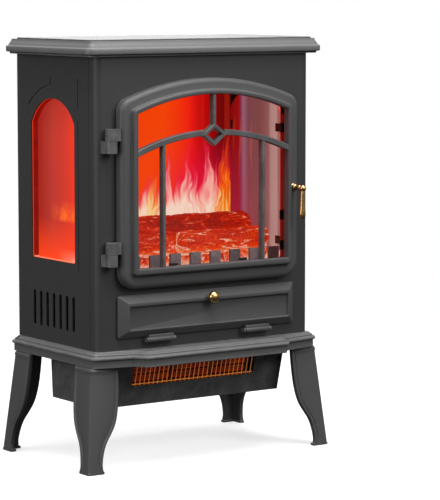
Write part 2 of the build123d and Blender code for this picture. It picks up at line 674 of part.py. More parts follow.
ROCKER_Y = FASCIA_FACE + 1.0
ROCKERS = ("flame_switch_rocker", "low_heat_rocker", "high_heat_rocker")
for x, name in zip(SWITCH_X, ROCKERS):
    with BuildPart() as rocker:
        with BuildSketch(Plane.YZ.offset(x - 6.1)):
            with BuildLine():
                Polyline((ROCKER_Y + 2.4, SWITCH_Z - 6.5), (ROCKER_Y - 5.0, SWITCH_Z - 9.6),
                         (ROCKER_Y - 3.8, SWITCH_Z), (ROCKER_Y - 7.0, SWITCH_Z + 9.5),
                         (ROCKER_Y + 1.6, SWITCH_Z + 6.8), close=True)
            make_face()
        extrude(amount=12.2)
    keep(rocker, name)


def control_knob(x, name):
    """Round knob with a grip bar across its face and a stem that turns in its control."""
    back = FASCIA_FACE - 0.6
    with BuildPart() as knob:
        rod((x, back, SWITCH_Z), (0, -1, 0), KNOB_R, 3.0)
        rod((x, back, SWITCH_Z), (0, -1, 0), KNOB_R - 3.5, 6.5)
        block((x - 2.4, x + 2.4), (back - 10.4, back - 2.0), (SWITCH_Z - KNOB_R + 3.5, SWITCH_Z + KNOB_R - 1.5))
        rod((x, back, SWITCH_Z), (0, 1, 0), STEM_R, 0.6 + FASCIA_T + 6)
    keep(knob, name)


control_knob(THERMOSTAT_X, "thermostat_knob")
control_knob(DIMMER_X, "dimmer_knob")

with BuildPart() as rotary_controls:
    for x in KNOBS:
        block((x - 13, x + 13), (FASCIA_FACE + FASCIA_T, FASCIA_FACE + FASCIA_T + 20),
              (SWITCH_Z - 13, SWITCH_Z + 13))
        rod((x, FASCIA_FACE + FASCIA_T, SWITCH_Z), (0, 1, 0), STEM_R + RUNNING, 7, mode=Mode.SUBTRACT)
keep(rotary_controls, "rotary_controls")

with BuildPart() as control_board:
    block((-60, 60), (MIDDLE + 50, MIDDLE + 96), (BODY_LOW + SHEET + 8, BODY_LOW + SHEET + 9.6))
    for x in (-38, -8, 24):
        block((x - 9, x + 9), (MIDDLE + 62, MIDDLE + 84),
              (BODY_LOW + SHEET + 9.6, BODY_LOW + SHEET + 24))
    block((42, 56), (MIDDLE + 54, MIDDLE + 92), (BODY_LOW + SHEET + 9.6, BODY_LOW + SHEET + 20))
    for x in (-55, 55):
        for y in (MIDDLE + 54, MIDDLE + 92):
            rod((x, y, BODY_LOW + SHEET), (0, 0, 1), 2.5, 8)
keep(control_board, "control_board")

# ---------------------------------------------------------------- fire chamber

with BuildPart() as firebox_floor:
    block((-HALF_W + SHEET, HALF_W - SHEET), (FRONT + SHEET + 11, BACK - SHEET - 1.5),
          (CHAMBER_FLOOR - 1.5, CHAMBER_FLOOR))
    with Locations((0, MIDDLE - 20, CHAMBER_FLOOR)):
        Box(240, 60, 6, mode=Mode.SUBTRACT)
    for side in (-1, 1):
        x = sorted((side * (HALF_W - SHEET), side * (HALF_W - SHEET - 1.5)))
        block(x, (FRONT + SHEET + 11, BACK - SHEET - 20), (CHAMBER_FLOOR, CHAMBER_FLOOR + 8))
keep(firebox_floor, "firebox_floor")

with BuildPart() as firebox_roof:
    block((-HALF_W + SHEET, HALF_W - SHEET), (FRONT + SHEET + 11, BACK - SHEET - 1.5),
          (CHAMBER_ROOF, CHAMBER_ROOF + 1.5))
keep(firebox_roof, "firebox_roof")

with BuildPart() as flame_screen:
    block((-153, 153), (SCREEN_Y, SCREEN_Y + 3), (CHAMBER_FLOOR, CHAMBER_ROOF))
keep(flame_screen, "flame_screen")

TEETH = 9
TOOTH_PITCH = 34.5
with BuildPart() as fire_grate:
    block((-166, 166), (GRATE_Y - 2, GRATE_Y + 2), (CHAMBER_FLOOR, 277.5))
    block((-166, 166), (GRATE_Y + 2, GRATE_Y + 12), (CHAMBER_FLOOR, CHAMBER_FLOOR + 3))
    with Locations((0, GRATE_Y, 277.5)):
        with GridLocations(TOOTH_PITCH, 1, TEETH, 1):
            Box(17.4, 4, 17.0, align=(Align.CENTER, Align.CENTER, Align.MIN))
keep(fire_grate, "fire_grate")


def log(name, start, end, radius):
    """Moulded log: a round bar, thicker at one end, with a stub of a cut branch."""
    axis = Vector(*end) - Vector(*start)
    base = Plane(origin=start, z_dir=axis)
    with BuildPart() as wood:
        with BuildSketch(base):
            RegularPolygon(radius, 9)
        with BuildSketch(base.offset(axis.length)):
            RegularPolygon(radius * 0.86, 9)
        loft()
    keep(wood, name)
    return wood


LOGS = (("back_log", (-156, MIDDLE + 16, 317), (158, MIDDLE + 10, 314), 27.0),
        ("left_log", (-148, MIDDLE - 48, 300), (-26, MIDDLE - 34, 311), 19.0),
        ("right_log", (-8, MIDDLE - 38, 306), (154, MIDDLE - 50, 298), 20.0))
logs = [log(*one) for one in LOGS]

with BuildPart() as ember_bed:
    with BuildSketch(Plane.XY.offset(CHAMBER_FLOOR + 3.2)):
        with Locations((0, MIDDLE - 16)):
            RectangleRounded(330, 108, 10)
    with BuildSketch(Plane.XY.offset(298)):
        with Locations((0, MIDDLE - 12)):
            RectangleRounded(314, 84, 10)
    loft()
    for one in logs:
        add(one.part, mode=Mode.SUBTRACT)
keep(ember_bed, "ember_bed")

LED = 5.0
with BuildPart() as led_boards:
    block((-140, 140), (MIDDLE - 46, MIDDLE + 6), (CHAMBER_FLOOR - 9, CHAMBER_FLOOR - 7.4))
    with Locations((0, MIDDLE - 20, CHAMBER_FLOOR - 7.4)):
        with GridLocations(27, 26, 10, 2):
            Box(LED, LED, 2, align=(Align.CENTER, Align.CENTER, Align.MIN))
    for side in (-1, 1):
        block(sorted((side * 136, side * 140)), (MIDDLE - 46, MIDDLE + 6),
              (CHAMBER_FLOOR - 7.4, CHAMBER_FLOOR - 1.5))
    block((-140, 140), (SCREEN_Y + 4, SCREEN_Y + 10), (CHAMBER_FLOOR, CHAMBER_FLOOR + 1.6))
    with Locations((0, SCREEN_Y + 7, CHAMBER_FLOOR + 1.6)):
        with GridLocations(23, 1, 12, 1):
            Box(LED, LED, 2, align=(Align.CENTER, Align.CENTER, Align.MIN))
keep(led_boards, "led_boards")

# Turning spindle with bright flags behind the screen, which makes the flames move.
ROTOR_Y = MIDDLE + 80.0
ROTOR_Z = 292.0
ROTOR_SHAFT_R = 2.0
with BuildPart() as flame_rotor:
    rod((-146, ROTOR_Y, ROTOR_Z), (1, 0, 0), ROTOR_SHAFT_R, 288)
    for step in range(12):
        x = -130 + step * 23
        turn = Plane(origin=(x, ROTOR_Y, ROTOR_Z), x_dir=(1, 0, 0), z_dir=(0, 0, 1)).rotated((step * 40, 0, 0))
        with Locations(turn):
            Box(15, 30, 0.8)
keep(flame_rotor, "flame_rotor")

with BuildPart() as rotor_motor:
    rod((144, ROTOR_Y, ROTOR_Z), (1, 0, 0), 17, 20)
    block((148, 164), (ROTOR_Y - 10, ROTOR_Y + 10), (CHAMBER_FLOOR, ROTOR_Z))
    rod((143, ROTOR_Y, ROTOR_Z), (1, 0, 0), ROTOR_SHAFT_R + RUNNING, 6, mode=Mode.SUBTRACT)
keep(rotor_motor, "rotor_motor")

# ---------------------------------------------------------------- fan heater under the body

SLOPE_LOW = (MIDDLE - 67.0, HEATER_LOW)
SLOPE_HIGH = (MIDDLE - 83.0, 143.0)
slope_rise = Vector(0, SLOPE_HIGH[0] - SLOPE_LOW[0], SLOPE_HIGH[1] - SLOPE_LOW[1])
slope_out = Vector(1, 0, 0).cross(slope_rise).normalized()
slope = Plane(origin=(0, *SLOPE_LOW), x_dir=(1, 0, 0), z_dir=slope_out)
with BuildPart() as heater_housing:
    with BuildSketch(Plane.YZ.offset(-HEATER_HALF)):
        with BuildLine():
            Polyline((MIDDLE - 84, BODY_LOW), SLOPE_HIGH, SLOPE_LOW, (MIDDLE + 60, HEATER_LOW),
                     (MIDDLE + 64, 143), (MIDDLE + 64, BODY_LOW), close=True)
        make_face()
    extrude(amount=2 * HEATER_HALF)
    with BuildSketch(Plane.YZ.offset(-HEATER_HALF + HEATER_T)):
        with BuildLine():
            Polyline((MIDDLE - 84 + HEATER_T, BODY_LOW), (SLOPE_HIGH[0] + HEATER_T, 143),
                     (SLOPE_LOW[0] + HEATER_T, HEATER_LOW + HEATER_T),
                     (MIDDLE + 60 - HEATER_T, HEATER_LOW + HEATER_T),
                     (MIDDLE + 64 - HEATER_T, 143), (MIDDLE + 64 - HEATER_T, BODY_LOW), close=True)
        make_face()
    extrude(amount=2 * (HEATER_HALF - HEATER_T), mode=Mode.SUBTRACT)
    with BuildSketch(slope):
        with Locations((0, GRILLE_RISE)):
            RectangleRounded(2 * GRILLE_HALF + 3, GRILLE_H, 2)
    extrude(amount=3, both=True, mode=Mode.SUBTRACT)
keep(heater_housing, "heater_housing")

WIRES = 27
WIRE_PITCH = 2 * GRILLE_HALF / WIRES
with BuildPart() as outlet_grille:
    with Locations(slope):
        with Locations((0, GRILLE_RISE, 0)):
            with GridLocations(WIRE_PITCH, 1, WIRES, 1):
                Cylinder(1.0, GRILLE_H - 1, rotation=(90, 0, 0))
        with Locations((0, GRILLE_RISE - GRILLE_H / 2 + 1.5, -1.2), (0, GRILLE_RISE + GRILLE_H / 2 - 1.5, -1.2)):
            Box(2 * GRILLE_HALF + 1, 2.0, 1.6)
keep(outlet_grille, "outlet_grille")

CUTOUT_R = 8.0
# Wound rods on their mica frames, with the thermal cut-out above them.
with BuildPart() as heating_element:
    for row in range(4):
        rise = 22 + row * 12
        centre = slope.offset(-16).from_local_coords(Vector(-100, rise, 0))
        rod(centre, (1, 0, 0), 3.2, 200)
    for x in (-103, -34, 34, 100):
        with BuildSketch(Plane.YZ.offset(x)):
            with BuildLine():
                corners = [slope.from_local_coords(Vector(0, rise, back))
                           for rise, back in ((14, -11), (66, -11), (66, -21), (14, -21))]
                Polyline(*[(p.Y, p.Z) for p in corners], close=True)
            make_face()
        extrude(amount=3)
    rod((60, MIDDLE - 40, BODY_LOW), (0, 0, -1), CUTOUT_R, 5)
    block((56, 64), (MIDDLE - 43, MIDDLE - 37), (BODY_LOW - 12, BODY_LOW - 5))
keep(heating_element, "heating_element")

with BuildPart() as fan_impeller:
    rod((-92, FAN_Y, FAN_Z), (1, 0, 0), FAN_R, 2)
    rod((90, FAN_Y, FAN_Z), (1, 0, 0), FAN_R, 2)
    rod((-104, FAN_Y, FAN_Z), (1, 0, 0), FAN_SHAFT_R, 212)
    with Locations(Plane(origin=(-90, FAN_Y, FAN_Z), z_dir=(1, 0, 0))):
        with PolarLocations(FAN_R - 3.5, 20):
            Box(6.0, 1.0, 180, align=(Align.CENTER, Align.CENTER, Align.MIN))
keep(fan_impeller, "fan_impeller")

with BuildPart() as end_bearings:
    block((-107, -102), (FAN_Y - 8, FAN_Y + 8), (HEATER_LOW + HEATER_T, FAN_Z + 8))
    rod((-108, FAN_Y, FAN_Z), (1, 0, 0), FAN_SHAFT_R + RUNNING, 8, mode=Mode.SUBTRACT)
    block((-149, -144), (ROTOR_Y - 7, ROTOR_Y + 7), (CHAMBER_FLOOR, ROTOR_Z + 7))
    rod((-150, ROTOR_Y, ROTOR_Z), (1, 0, 0), ROTOR_SHAFT_R + RUNNING, 8, mode=Mode.SUBTRACT)
keep(end_bearings, "end_bearings")

with BuildPart() as fan_motor:
    rod((100, FAN_Y, FAN_Z), (1, 0, 0), 26, 40)
    block((108, 132), (FAN_Y - 14, FAN_Y + 14), (HEATER_LOW + HEATER_T, FAN_Z))
    rod((99, FAN_Y, FAN_Z), (1, 0, 0), FAN_SHAFT_R + RUNNING, 12, mode=Mode.SUBTRACT)
keep(fan_motor, "fan_motor")

with BuildPart() as fan_scroll:
    with BuildSketch(Plane.YZ.offset(-96)):
        with BuildLine():
            near = 27.5
            far = 29.0
            ThreePointArc((FAN_Y, FAN_Z - far), (FAN_Y + far, FAN_Z), (FAN_Y, FAN_Z + far))
            Line((FAN_Y, FAN_Z + far), (FAN_Y, FAN_Z + near))
            ThreePointArc((FAN_Y, FAN_Z + near), (FAN_Y + near, FAN_Z), (FAN_Y, FAN_Z - near))
            Line((FAN_Y, FAN_Z - near), (FAN_Y, FAN_Z - far))
        make_face()
    extrude(amount=192)
keep(fan_scroll, "fan_scroll")

# One kind of pan-head screw holds the back sheet and the heater housing.
with BuildPart() as casing_screws:
    for x, z in BACK_SCREWS:
        rod((x, BACK, z), (0, 1, 0), SCREW_HEAD_R, 1.8)
        rod((x, BACK, z), (0, -1, 0), SCREW_R, 4.0)
    for x in (-HEATER_HALF + 7, HEATER_HALF - 7):
        head = slope.from_local_coords(Vector(x, 50, 0))
        rod(head, slope_out, SCREW_HEAD_R, 1.8)
keep(casing_screws, "casing_screws")
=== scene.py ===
"""Finished surfaces of a three-sided electric stove heater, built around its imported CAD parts.

Sizes inside the modelling functions are millimetres, in the CAD frame: +X to the stove's right as
it is faced, +Y to its back, +Z up, with the origin on the floor under its middle.
"""

import math

import bmesh
import bpy
import numpy as np
from bpy.props import FloatProperty, FloatVectorProperty, IntProperty, PointerProperty
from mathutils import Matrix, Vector, noise


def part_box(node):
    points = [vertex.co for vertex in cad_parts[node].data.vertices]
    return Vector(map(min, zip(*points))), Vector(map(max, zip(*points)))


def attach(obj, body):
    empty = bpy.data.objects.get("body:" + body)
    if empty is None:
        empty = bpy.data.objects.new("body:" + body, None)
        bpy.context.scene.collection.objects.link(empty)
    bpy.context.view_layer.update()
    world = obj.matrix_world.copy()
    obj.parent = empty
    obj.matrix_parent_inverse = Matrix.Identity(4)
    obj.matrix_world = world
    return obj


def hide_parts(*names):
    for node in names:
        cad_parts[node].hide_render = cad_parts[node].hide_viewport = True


bl_info = {
    "name": "Stove heater",
    "version": (1, 0, 0),
    "blender": (4, 5, 0),
    "location": "3D View > Sidebar > Stove",
    "description": "Builds the finished surfaces of a three-sided electric stove heater",
    "category": "Object",
}

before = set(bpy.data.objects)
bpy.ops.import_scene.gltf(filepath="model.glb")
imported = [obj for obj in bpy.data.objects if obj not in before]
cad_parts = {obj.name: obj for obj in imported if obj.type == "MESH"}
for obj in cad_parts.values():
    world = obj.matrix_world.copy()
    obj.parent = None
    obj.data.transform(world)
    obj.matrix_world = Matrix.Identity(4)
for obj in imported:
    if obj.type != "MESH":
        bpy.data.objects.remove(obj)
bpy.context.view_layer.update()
MM = 0.001


# ---------------------------------------------------------------- what a user would change

def colour_setting(name, description, default):
    """A linear colour on the panel."""
    return FloatVectorProperty(name=name, description=description, default=default, size=3,
                               min=0, max=1, subtype="COLOR")


def length_setting(name, description, default):
    """A length on the panel, in metres."""
    return FloatProperty(name=name, description=description, default=default, min=0,
                         subtype="DISTANCE", unit="LENGTH")


class StoveFinishes(bpy.types.PropertyGroup):
    """Colours and textures of the metal and plastic."""

    sheet: colour_setting("Sheet paint", "Colour of the painted casing", (0.027, 0.027, 0.0275))
    casting: colour_setting("Casting paint", "Colour of the cast mouldings", (0.058, 0.058, 0.0585))
    brass: colour_setting("Brass", "Colour of the handle and the knob", (0.66, 0.42, 0.17))
    grain: length_setting("Paint grain", "Spacing of the texture in the paint", 0.0011)


class StoveFire(bpy.types.PropertyGroup):
    """The glow behind the door and the side windows."""

    glow: FloatProperty(name="Flame glow", description="Light given by the flame screen",
                        default=1.0, min=0, max=10)
    embers: FloatProperty(name="Ember glow", description="Light given by the logs and embers",
                          default=1.0, min=0, max=10)
    windows: FloatProperty(name="Window glow", description="Light given by the side panes",
                           default=1.1, min=0, max=10)
    element: FloatProperty(name="Element glow", description="Light given by the hot coils",
                           default=0.3, min=0, max=50)
    chips: IntProperty(name="Ember chips", description="Loose chips for each square metre",
                       default=16000, min=0, max=60000)
    seed: IntProperty(name="Seed", description="Start of every random draw", default=7)


class StoveStage(bpy.types.PropertyGroup):
    """Studio floor and lights."""

    floor: colour_setting("Floor", "Colour of the studio floor", (0.46, 0.46, 0.46))
    overhead: FloatProperty(name="Overhead light", description="Power of the soft top light",
                            default=70, min=0, unit="POWER")
    front: FloatProperty(name="Front light", description="Power of the soft front light",
                         default=44, min=0, unit="POWER")
    side: FloatProperty(name="Side light", description="Power of the soft light on the left",
                        default=26, min=0, unit="POWER")
    ambient: FloatProperty(name="Ambient", description="Strength of the even room light",
                           default=0.5, min=0, max=4)


# ---------------------------------------------------------------- node trees

# Keeps these finishes apart from the record's own materials, which have like names.
FINISH_PREFIX = "stove "


class Wire:
    """An output socket that takes part in arithmetic; each expression adds its Math nodes."""

    def __init__(self, graph, socket):
        self.graph = graph
        self.socket = socket

    def maths(self, operation, *terms):
        return self.graph.node("ShaderNodeMath", {"operation": operation}, dict(enumerate(terms)))

    def __add__(self, other):
        return self.maths("ADD", self, other)

    def __sub__(self, other):
        return self.maths("SUBTRACT", self, other)

    def __rsub__(self, other):
        return self.maths("SUBTRACT", other, self)

    def __mul__(self, other):
        return self.maths("MULTIPLY", self, other)

    def __truediv__(self, other):
        return self.maths("DIVIDE", self, other)

    def __pow__(self, other):
        return self.maths("POWER", self, other)

    __radd__ = __add__
    __rmul__ = __mul__

    def over(self, low, high):
        """0 below low, 1 above high and straight between them."""
        return self.graph.node("ShaderNodeMapRange", {"clamp": True},
                               {"Value": self, "From Min": low, "From Max": high})


class Graph:
    """A node tree in the making. Every node but the Math ones comes from node()."""

    def __init__(self, tree):
        self.tree = tree

    def node(self, kind, settings=None, sockets=None, out=0):
        """Adds a node: settings first, then the values or links of its sockets."""
        made = self.tree.nodes.new(kind)
        for name, value in (settings or {}).items():
            if name == "stops":
                self.set_stops(made.color_ramp.elements, value)
            else:
                setattr(made, name, value)
        for key, value in (sockets or {}).items():
            if isinstance(value, Wire):
                self.tree.links.new(value.socket, made.inputs[key])
            else:
                made.inputs[key].default_value = value
        return Wire(self, made.outputs[out]) if out is not None else None

    @staticmethod
    def set_stops(elements, stops):
        while len(elements) < len(stops):
            elements.new(1)
        for element, (place, colour) in zip(elements, stops):
            element.position = place
            element.color = (*colour, 1)

    def mix(self, factor, first, second, blend="MIX"):
        """Blend of two colours."""
        ends = [c if isinstance(c, Wire) else (*c, 1) for c in (first, second)]
        return self.node("ShaderNodeMix", {"data_type": "RGBA", "blend_type": blend},
                         {0: factor, 6: ends[0], 7: ends[1]}, out=2)

    def ramp(self, factor, stops):
        """Colour ramp; stops are (place, colour) pairs."""
        return self.node("ShaderNodeValToRGB", {"stops": stops}, {0: factor})

    def tones(self, factor, first, second):
        """Ramp from one colour to another over the middle of a noise."""
        return self.ramp(factor, [(0.3, first), (0.7, second)])

    def part(self, vector, axis):
        """One component of a vector."""
        return self.node("ShaderNodeSeparateXYZ", None, {0: vector}, out=axis)

    def facing(self, axis):
        """One component of the surface's outward direction."""
        return self.part(self.node("ShaderNodeNewGeometry", out="Normal"), axis)


class Finish(Graph):
    """A material in the making, with its texture point and its Principled shader."""

    def __init__(self, name):
        self.material = bpy.data.materials.new(FINISH_PREFIX + name)
        self.material.use_nodes = True
        super().__init__(self.material.node_tree)
        self.shader = self.tree.nodes["Principled BSDF"]
        self.point = self.node("ShaderNodeTexCoord", out="Object")

    def along(self, axis):
        """Place of the shaded point along an axis, in metres."""
        return self.part(self.point, axis)

    def painted_on(self, name):
        """Colours carried by the points of the mesh."""
        return self.node("ShaderNodeAttribute", {"attribute_name": name}, out="Color")

    def set(self, **sockets):
        """Values or links of the shader's sockets, written with _ for a space."""
        for key, value in sockets.items():
            socket = self.shader.inputs[key.replace("_", " ")]
            if isinstance(value, Wire):
                self.tree.links.new(value.socket, socket)
            elif hasattr(value, "__len__"):
                socket.default_value = (*value, 1)
            else:
                socket.default_value = value
        return self

    def stretched(self, scale, turn=(0, 0, 0)):
        """The texture point with its axes scaled and turned."""
        return self.node("ShaderNodeMapping", None,
                         {"Vector": self.point, "Scale": scale, "Rotation": turn})

    def clouds(self, scale, detail=3, point=None, rough=0.5):
        """Soft noise from 0 to 1; scale counts features in a metre."""
        return self.node("ShaderNodeTexNoise", None,
                         {"Vector": point or self.point, "Scale": scale, "Detail": detail,
                          "Roughness": rough})

    def bump(self, height, distance, strength=1.0, under=None):
        """Surface relief of the given depth, in metres."""
        sockets = {"Height": height, "Distance": distance, "Strength": strength}
        if under is not None:
            sockets["Normal"] = under
        return self.node("ShaderNodeBump", None, sockets)


def shade(colour, factor):
    """A colour made lighter or darker."""
    return tuple(min(1, c * factor) for c in colour)


def linear(red, green, blue):
    """Linear colour of a display colour given in 0 to 255."""
    parts = np.array([red, green, blue]) / 255
    return tuple(np.where(parts <= 0.04045, parts / 12.92, ((parts + 0.055) / 1.055) ** 2.4))


# Where the fire reaches, in metres: the chamber's height, the inner faces of the side sheets, and
# the lip round the door opening (its half width, its depth in front and its height).
CHAMBER_Z = (0.252, 0.545)
SIDE_INNER_X = 0.1782
LIP_X = 0.1372
LIP_Y = -0.07
LIP_Z = (0.266, 0.49)
CUTOFF = 0.0004


def fire_wash(f, cloud, lit):
    """Dull red light of the fire, on the faces that look into its chamber and on the door's lip."""
    across, depth, up = (f.along(axis) for axis in "XYZ")
    inward = [0 - f.facing(axis) * spot.maths("SIGN", spot)
              for axis, spot in (("X", across), ("Y", depth))]
    half = across.maths("ABSOLUTE", across)
    inside = inward[0].maths("MAXIMUM", *inward).over(0.3, 0.5)
    inside = inside * (1 - half.over(SIDE_INNER_X, SIDE_INNER_X + CUTOFF))
    lip = (0 - f.facing("Y")).over(0.5, 0.9) * (1 - half.over(LIP_X, LIP_X + CUTOFF))
    lip = lip * (1 - depth.over(LIP_Y - 0.01, LIP_Y))
    lip = lip * up.over(LIP_Z[0], LIP_Z[0] + 0.002) * (1 - up.over(LIP_Z[1] - 0.002, LIP_Z[1]))
    inside = inside.maths("MAXIMUM", inside, lip * 0.8)
    chamber = up.over(CHAMBER_Z[0] - 0.004, CHAMBER_Z[0])
    chamber = chamber * (1 - up.over(CHAMBER_Z[1], CHAMBER_Z[1] + 0.02))
    wash = f.tones(cloud, linear(92, 4, 4), linear(122, 9, 8))
    f.set(Emission_Color=f.mix(inside * chamber, (0, 0, 0), wash), Emission_Strength=lit)


def painted(name, colour, rough, cast, lit=0.0):
    """Matt heat-proof paint: fine grain, faint mottling, edges lightened by wear and by a painted
    highlight; cast adds a sand texture.

    A lit sheet also carries the fire's wash, at the strength given.
    """
    f = Finish(name)
    spacing = bpy.context.scene.stove_finishes.grain
    grain = f.clouds(1 / spacing, 2)
    orange_peel = f.clouds(0.22 / spacing, 2)
    mottle = f.clouds(11, 4)
    smudge = f.clouds(38, 5, rough=0.65)
    # Convex edges are painted lighter and glossier: partly wear, partly a painted highlight where
    # edges catch the light.
    convex_edges = f.node("ShaderNodeNewGeometry", out="Pointiness").over(0.53, 0.60)
    rubbed_and_highlit = convex_edges * smudge.over(0.35, 0.7) * (0.55 if cast else 0.06)
    tone = f.tones(mottle * 0.5 + grain * 0.5, shade(colour, 0.95), shade(colour, 1.05))
    tone = f.mix(rubbed_and_highlit, tone, shade(colour, 3.0))
    relief = f.bump(grain, 0.00005 if cast else 0.00003, 0.7)
    relief = f.bump(orange_peel, 0.0003 if cast else 0.00012, 0.5, relief)
    f.set(Base_Color=tone, Roughness=rough - rubbed_and_highlit * 0.2 + (smudge - 0.5) * 0.03,
          Specular_IOR_Level=0.4, Normal=relief)
    if lit:
        fire_wash(f, smudge, lit)
    return f.material


def metal(name, colour, rough, brushed=(1, 1, 1)):
    """Bare metal with brushing marks along the axes whose scale is small, and a dull film."""
    f = Finish(name)
    marks = f.clouds(1400, 3, f.stretched(brushed))
    film = f.clouds(60, 4)
    tone = f.ramp(film, [(0.3, shade(colour, 0.82)), (0.75, shade(colour, 1.06))])
    f.set(Base_Color=tone, Metallic=1.0, Normal=f.bump(marks, 0.00002, 0.6),
          Roughness=rough + (film - 0.5) * 0.16 + (marks - 0.5) * 0.14)
    return f.material


def plastic(name, colour, rough, spark=900):
    """Moulded plastic with a spark-eroded texture."""
    f = Finish(name)
    texture = f.clouds(spark, 2)
    scuffs = f.clouds(50, 4)
    f.set(Base_Color=f.tones(scuffs, shade(colour, 0.88), shade(colour, 1.14)),
          Roughness=rough + (scuffs - 0.5) * 0.15, Normal=f.bump(texture, 0.00004, 0.6))
    return f.material


def braided(name, colour):
    """Woven glass-fibre rope: crossing diagonal strands and stray fibres."""
    f = Finish(name)
    warp, weft = (f.node("ShaderNodeTexWave", {"bands_direction": "DIAGONAL"},
                         {"Vector": way, "Scale": 260, "Distortion": 1.5})
                  for way in (f.point, f.stretched((-1, 1, 1))))
    strands = warp.maths("MAXIMUM", warp, weft)
    fibres = f.clouds(2500, 4)
    tone = f.ramp(strands * 0.7 + fibres * 0.3,
                  [(0.2, shade(colour, 0.5)), (0.8, shade(colour, 1.2))])
    f.set(Base_Color=tone, Roughness=0.95, Normal=f.bump(strands, 0.0004, 0.8))
    return f.material


def circuit(name):
    """Green board with copper tracks under its mask and pale silk marks."""
    f = Finish(name)
    tracks = f.node("ShaderNodeTexBrick", None,
                    {"Vector": f.stretched((1, 1, 1), (math.pi / 2, 0, 0)), "Scale": 90,
                     "Color1": (1, 1, 1, 1), "Color2": (0.3, 0.3, 0.3, 1), "Mortar": (0, 0, 0, 1),
                     "Mortar Size": 0.03})
    weave = f.clouds(700, 3)
    base = f.tones(weave, (0.008, 0.07, 0.03), (0.012, 0.11, 0.05))
    f.set(Base_Color=f.mix(tracks, (0.02, 0.17, 0.08), base), Roughness=0.35 + weave * 0.2,
          Normal=f.bump(tracks, 0.00008, 0.6))
    return f.material


def clear_pane(name):
    """Toughened door glass, with faint smears in its gloss."""
    f = Finish(name)
    smears = f.clouds(24, 5)
    f.set(Base_Color=f.tones(smears, (0.006, 0.006, 0.006), (0.012, 0.011, 0.011)),
          Roughness=0.03 + smears * 0.05, Alpha=0.05 + smears * 0.03)
    return f.material


# Painted glow of a side pane seen from outside, for the fire's light through it: red, from its back
# edge to its front one.
PANE_GLOW_OUTSIDE = ((0.10, linear(150, 30, 22)), (0.35, linear(172, 48, 38)),
                (0.68, linear(205, 52, 36)), (0.88, linear(238, 48, 22)),
                (1.0, linear(250, 74, 34)))
# Painted glow of its inner face: pale pink, from the front to the back, where a red band borders
# the screen.
PANE_GLOW_INSIDE = ((0.02, linear(150, 92, 88)), (0.06, linear(178, 134, 128)),
               (0.17, linear(170, 126, 122)), (0.22, linear(140, 88, 86)),
               (0.36, linear(124, 70, 68)), (0.62, linear(120, 66, 72)),
               (0.71, linear(152, 92, 112)), (0.77, linear(128, 40, 60)),
               (0.81, linear(150, 8, 8)), (1.0, linear(128, 4, 4)))


def milky_pane(name, strength, side):
    """Diffusing side pane whose light is painted on as glow: red outside, brightest at the front,
    and pale pink on its inner face.
    """
    f = Finish(name)
    low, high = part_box(f"{side}_window_glass")
    depth, height = f.along("Y"), f.along("Z")
    outward = (f.facing("X") * (-1 if side == "left" else 1)).over(-0.2, 0.2)
    forward = 1 - depth.over(low[1], high[1])
    streak = f.clouds(30, 3, f.stretched((0.2, 1, 0.08)))
    share = height.over(low[2], high[2])
    front = f.ramp(forward * 0.92 + streak * 0.16, PANE_GLOW_OUTSIDE)
    front = f.mix((1 - share.over(0.03, 0.27)) * 0.85, front, linear(255, 66, 20))
    # Painted light low at the front: an orange blotch, a pink spread and a near-white centre; the
    # glow is dimmed to dark red at the top.
    glow_patch = share.over(0.25, 0.27) * (1 - share.over(0.30, 0.38)) * forward.over(0.3, 0.6)
    glow_patch = glow_patch * f.clouds(48, 3).over(0.35, 0.6)
    light_pool = (1 - share.over(0.02, 0.10)) * forward.over(0.45, 0.8)
    light_core = (1 - share.over(0.0, 0.055)) * forward.over(0.74, 0.86)
    for mask, weight, colour in ((glow_patch, 0.8, (255, 104, 34)), (light_pool, 0.7, (255, 150, 124)),
                                 (light_core, 0.9, (255, 214, 200)),
                                 (height.over(high[2] - 0.06, high[2]), 0.35, (120, 16, 6))):
        front = f.mix(mask * weight, front, linear(*colour))
    back = f.ramp(depth.over(low[1], high[1]) + (streak - 0.5) * 0.08, PANE_GLOW_INSIDE)
    low_down = 1 - height.over(low[2], low[2] + 0.17)
    back = f.mix(low_down * depth.over(low[1] + 0.02, high[1]) * 0.75, back, linear(176, 40, 74))
    # Orange streaks of painted flame light on the inner face, low down and back from the front
    # edge.
    flame_light_wisps = f.node("ShaderNodeTexWave", {"bands_direction": "Y"},
                   {"Vector": f.stretched((1, 1, 0.22)), "Scale": 13, "Distortion": 9, "Detail": 3,
                    "Detail Scale": 1.6})
    flame_light_wisps = flame_light_wisps.over(0.78, 0.97) * f.clouds(14, 3, f.stretched((1, 1, 0.35))).over(0.42, 0.6)
    flame_light_wisps = flame_light_wisps * depth.over(low[1] + 0.03, low[1] + 0.09)
    flame_light_wisps = flame_light_wisps * (1 - height.over(low[2] + 0.12, low[2] + 0.2))
    back = f.mix(flame_light_wisps * 0.8, back, linear(255, 112, 28))
    f.set(Base_Color=f.tones(streak, (0.012, 0.004, 0.003), (0.02, 0.006, 0.004)),
          Specular_IOR_Level=0.15, Roughness=0.3 + streak * 0.12,
          Emission_Color=f.mix(outward, back, front), Emission_Strength=strength,
          Normal=f.bump(f.clouds(420, 2), 0.00002, 0.5))
    return f.material


def glowing_jamb(name, strength):
    """Painted window reveal lit from behind the pane: bright at its outer lip and on its sill."""
    f = Finish(name)
    across = f.along("X")
    lip = across.maths("ABSOLUTE", across).over(SIDE_INNER_X + 0.0004, SIDE_INNER_X + 0.0014)
    cloud = f.clouds(35, 4)
    wash = f.tones(cloud, linear(104, 6, 2), linear(142, 12, 4))
    wash = f.mix(f.facing("Z").over(0.4, 0.7), wash, linear(255, 128, 92))
    f.set(Base_Color=f.tones(cloud, (0.014, 0.005, 0.004), (0.024, 0.008, 0.006)),
          Specular_IOR_Level=0.2, Roughness=0.5 + cloud * 0.15,
          Emission_Color=f.mix(lip, wash, linear(250, 64, 24)),
          Emission_Strength=strength, Normal=f.bump(f.clouds(900, 2), 0.00003, 0.6))
    return f.material


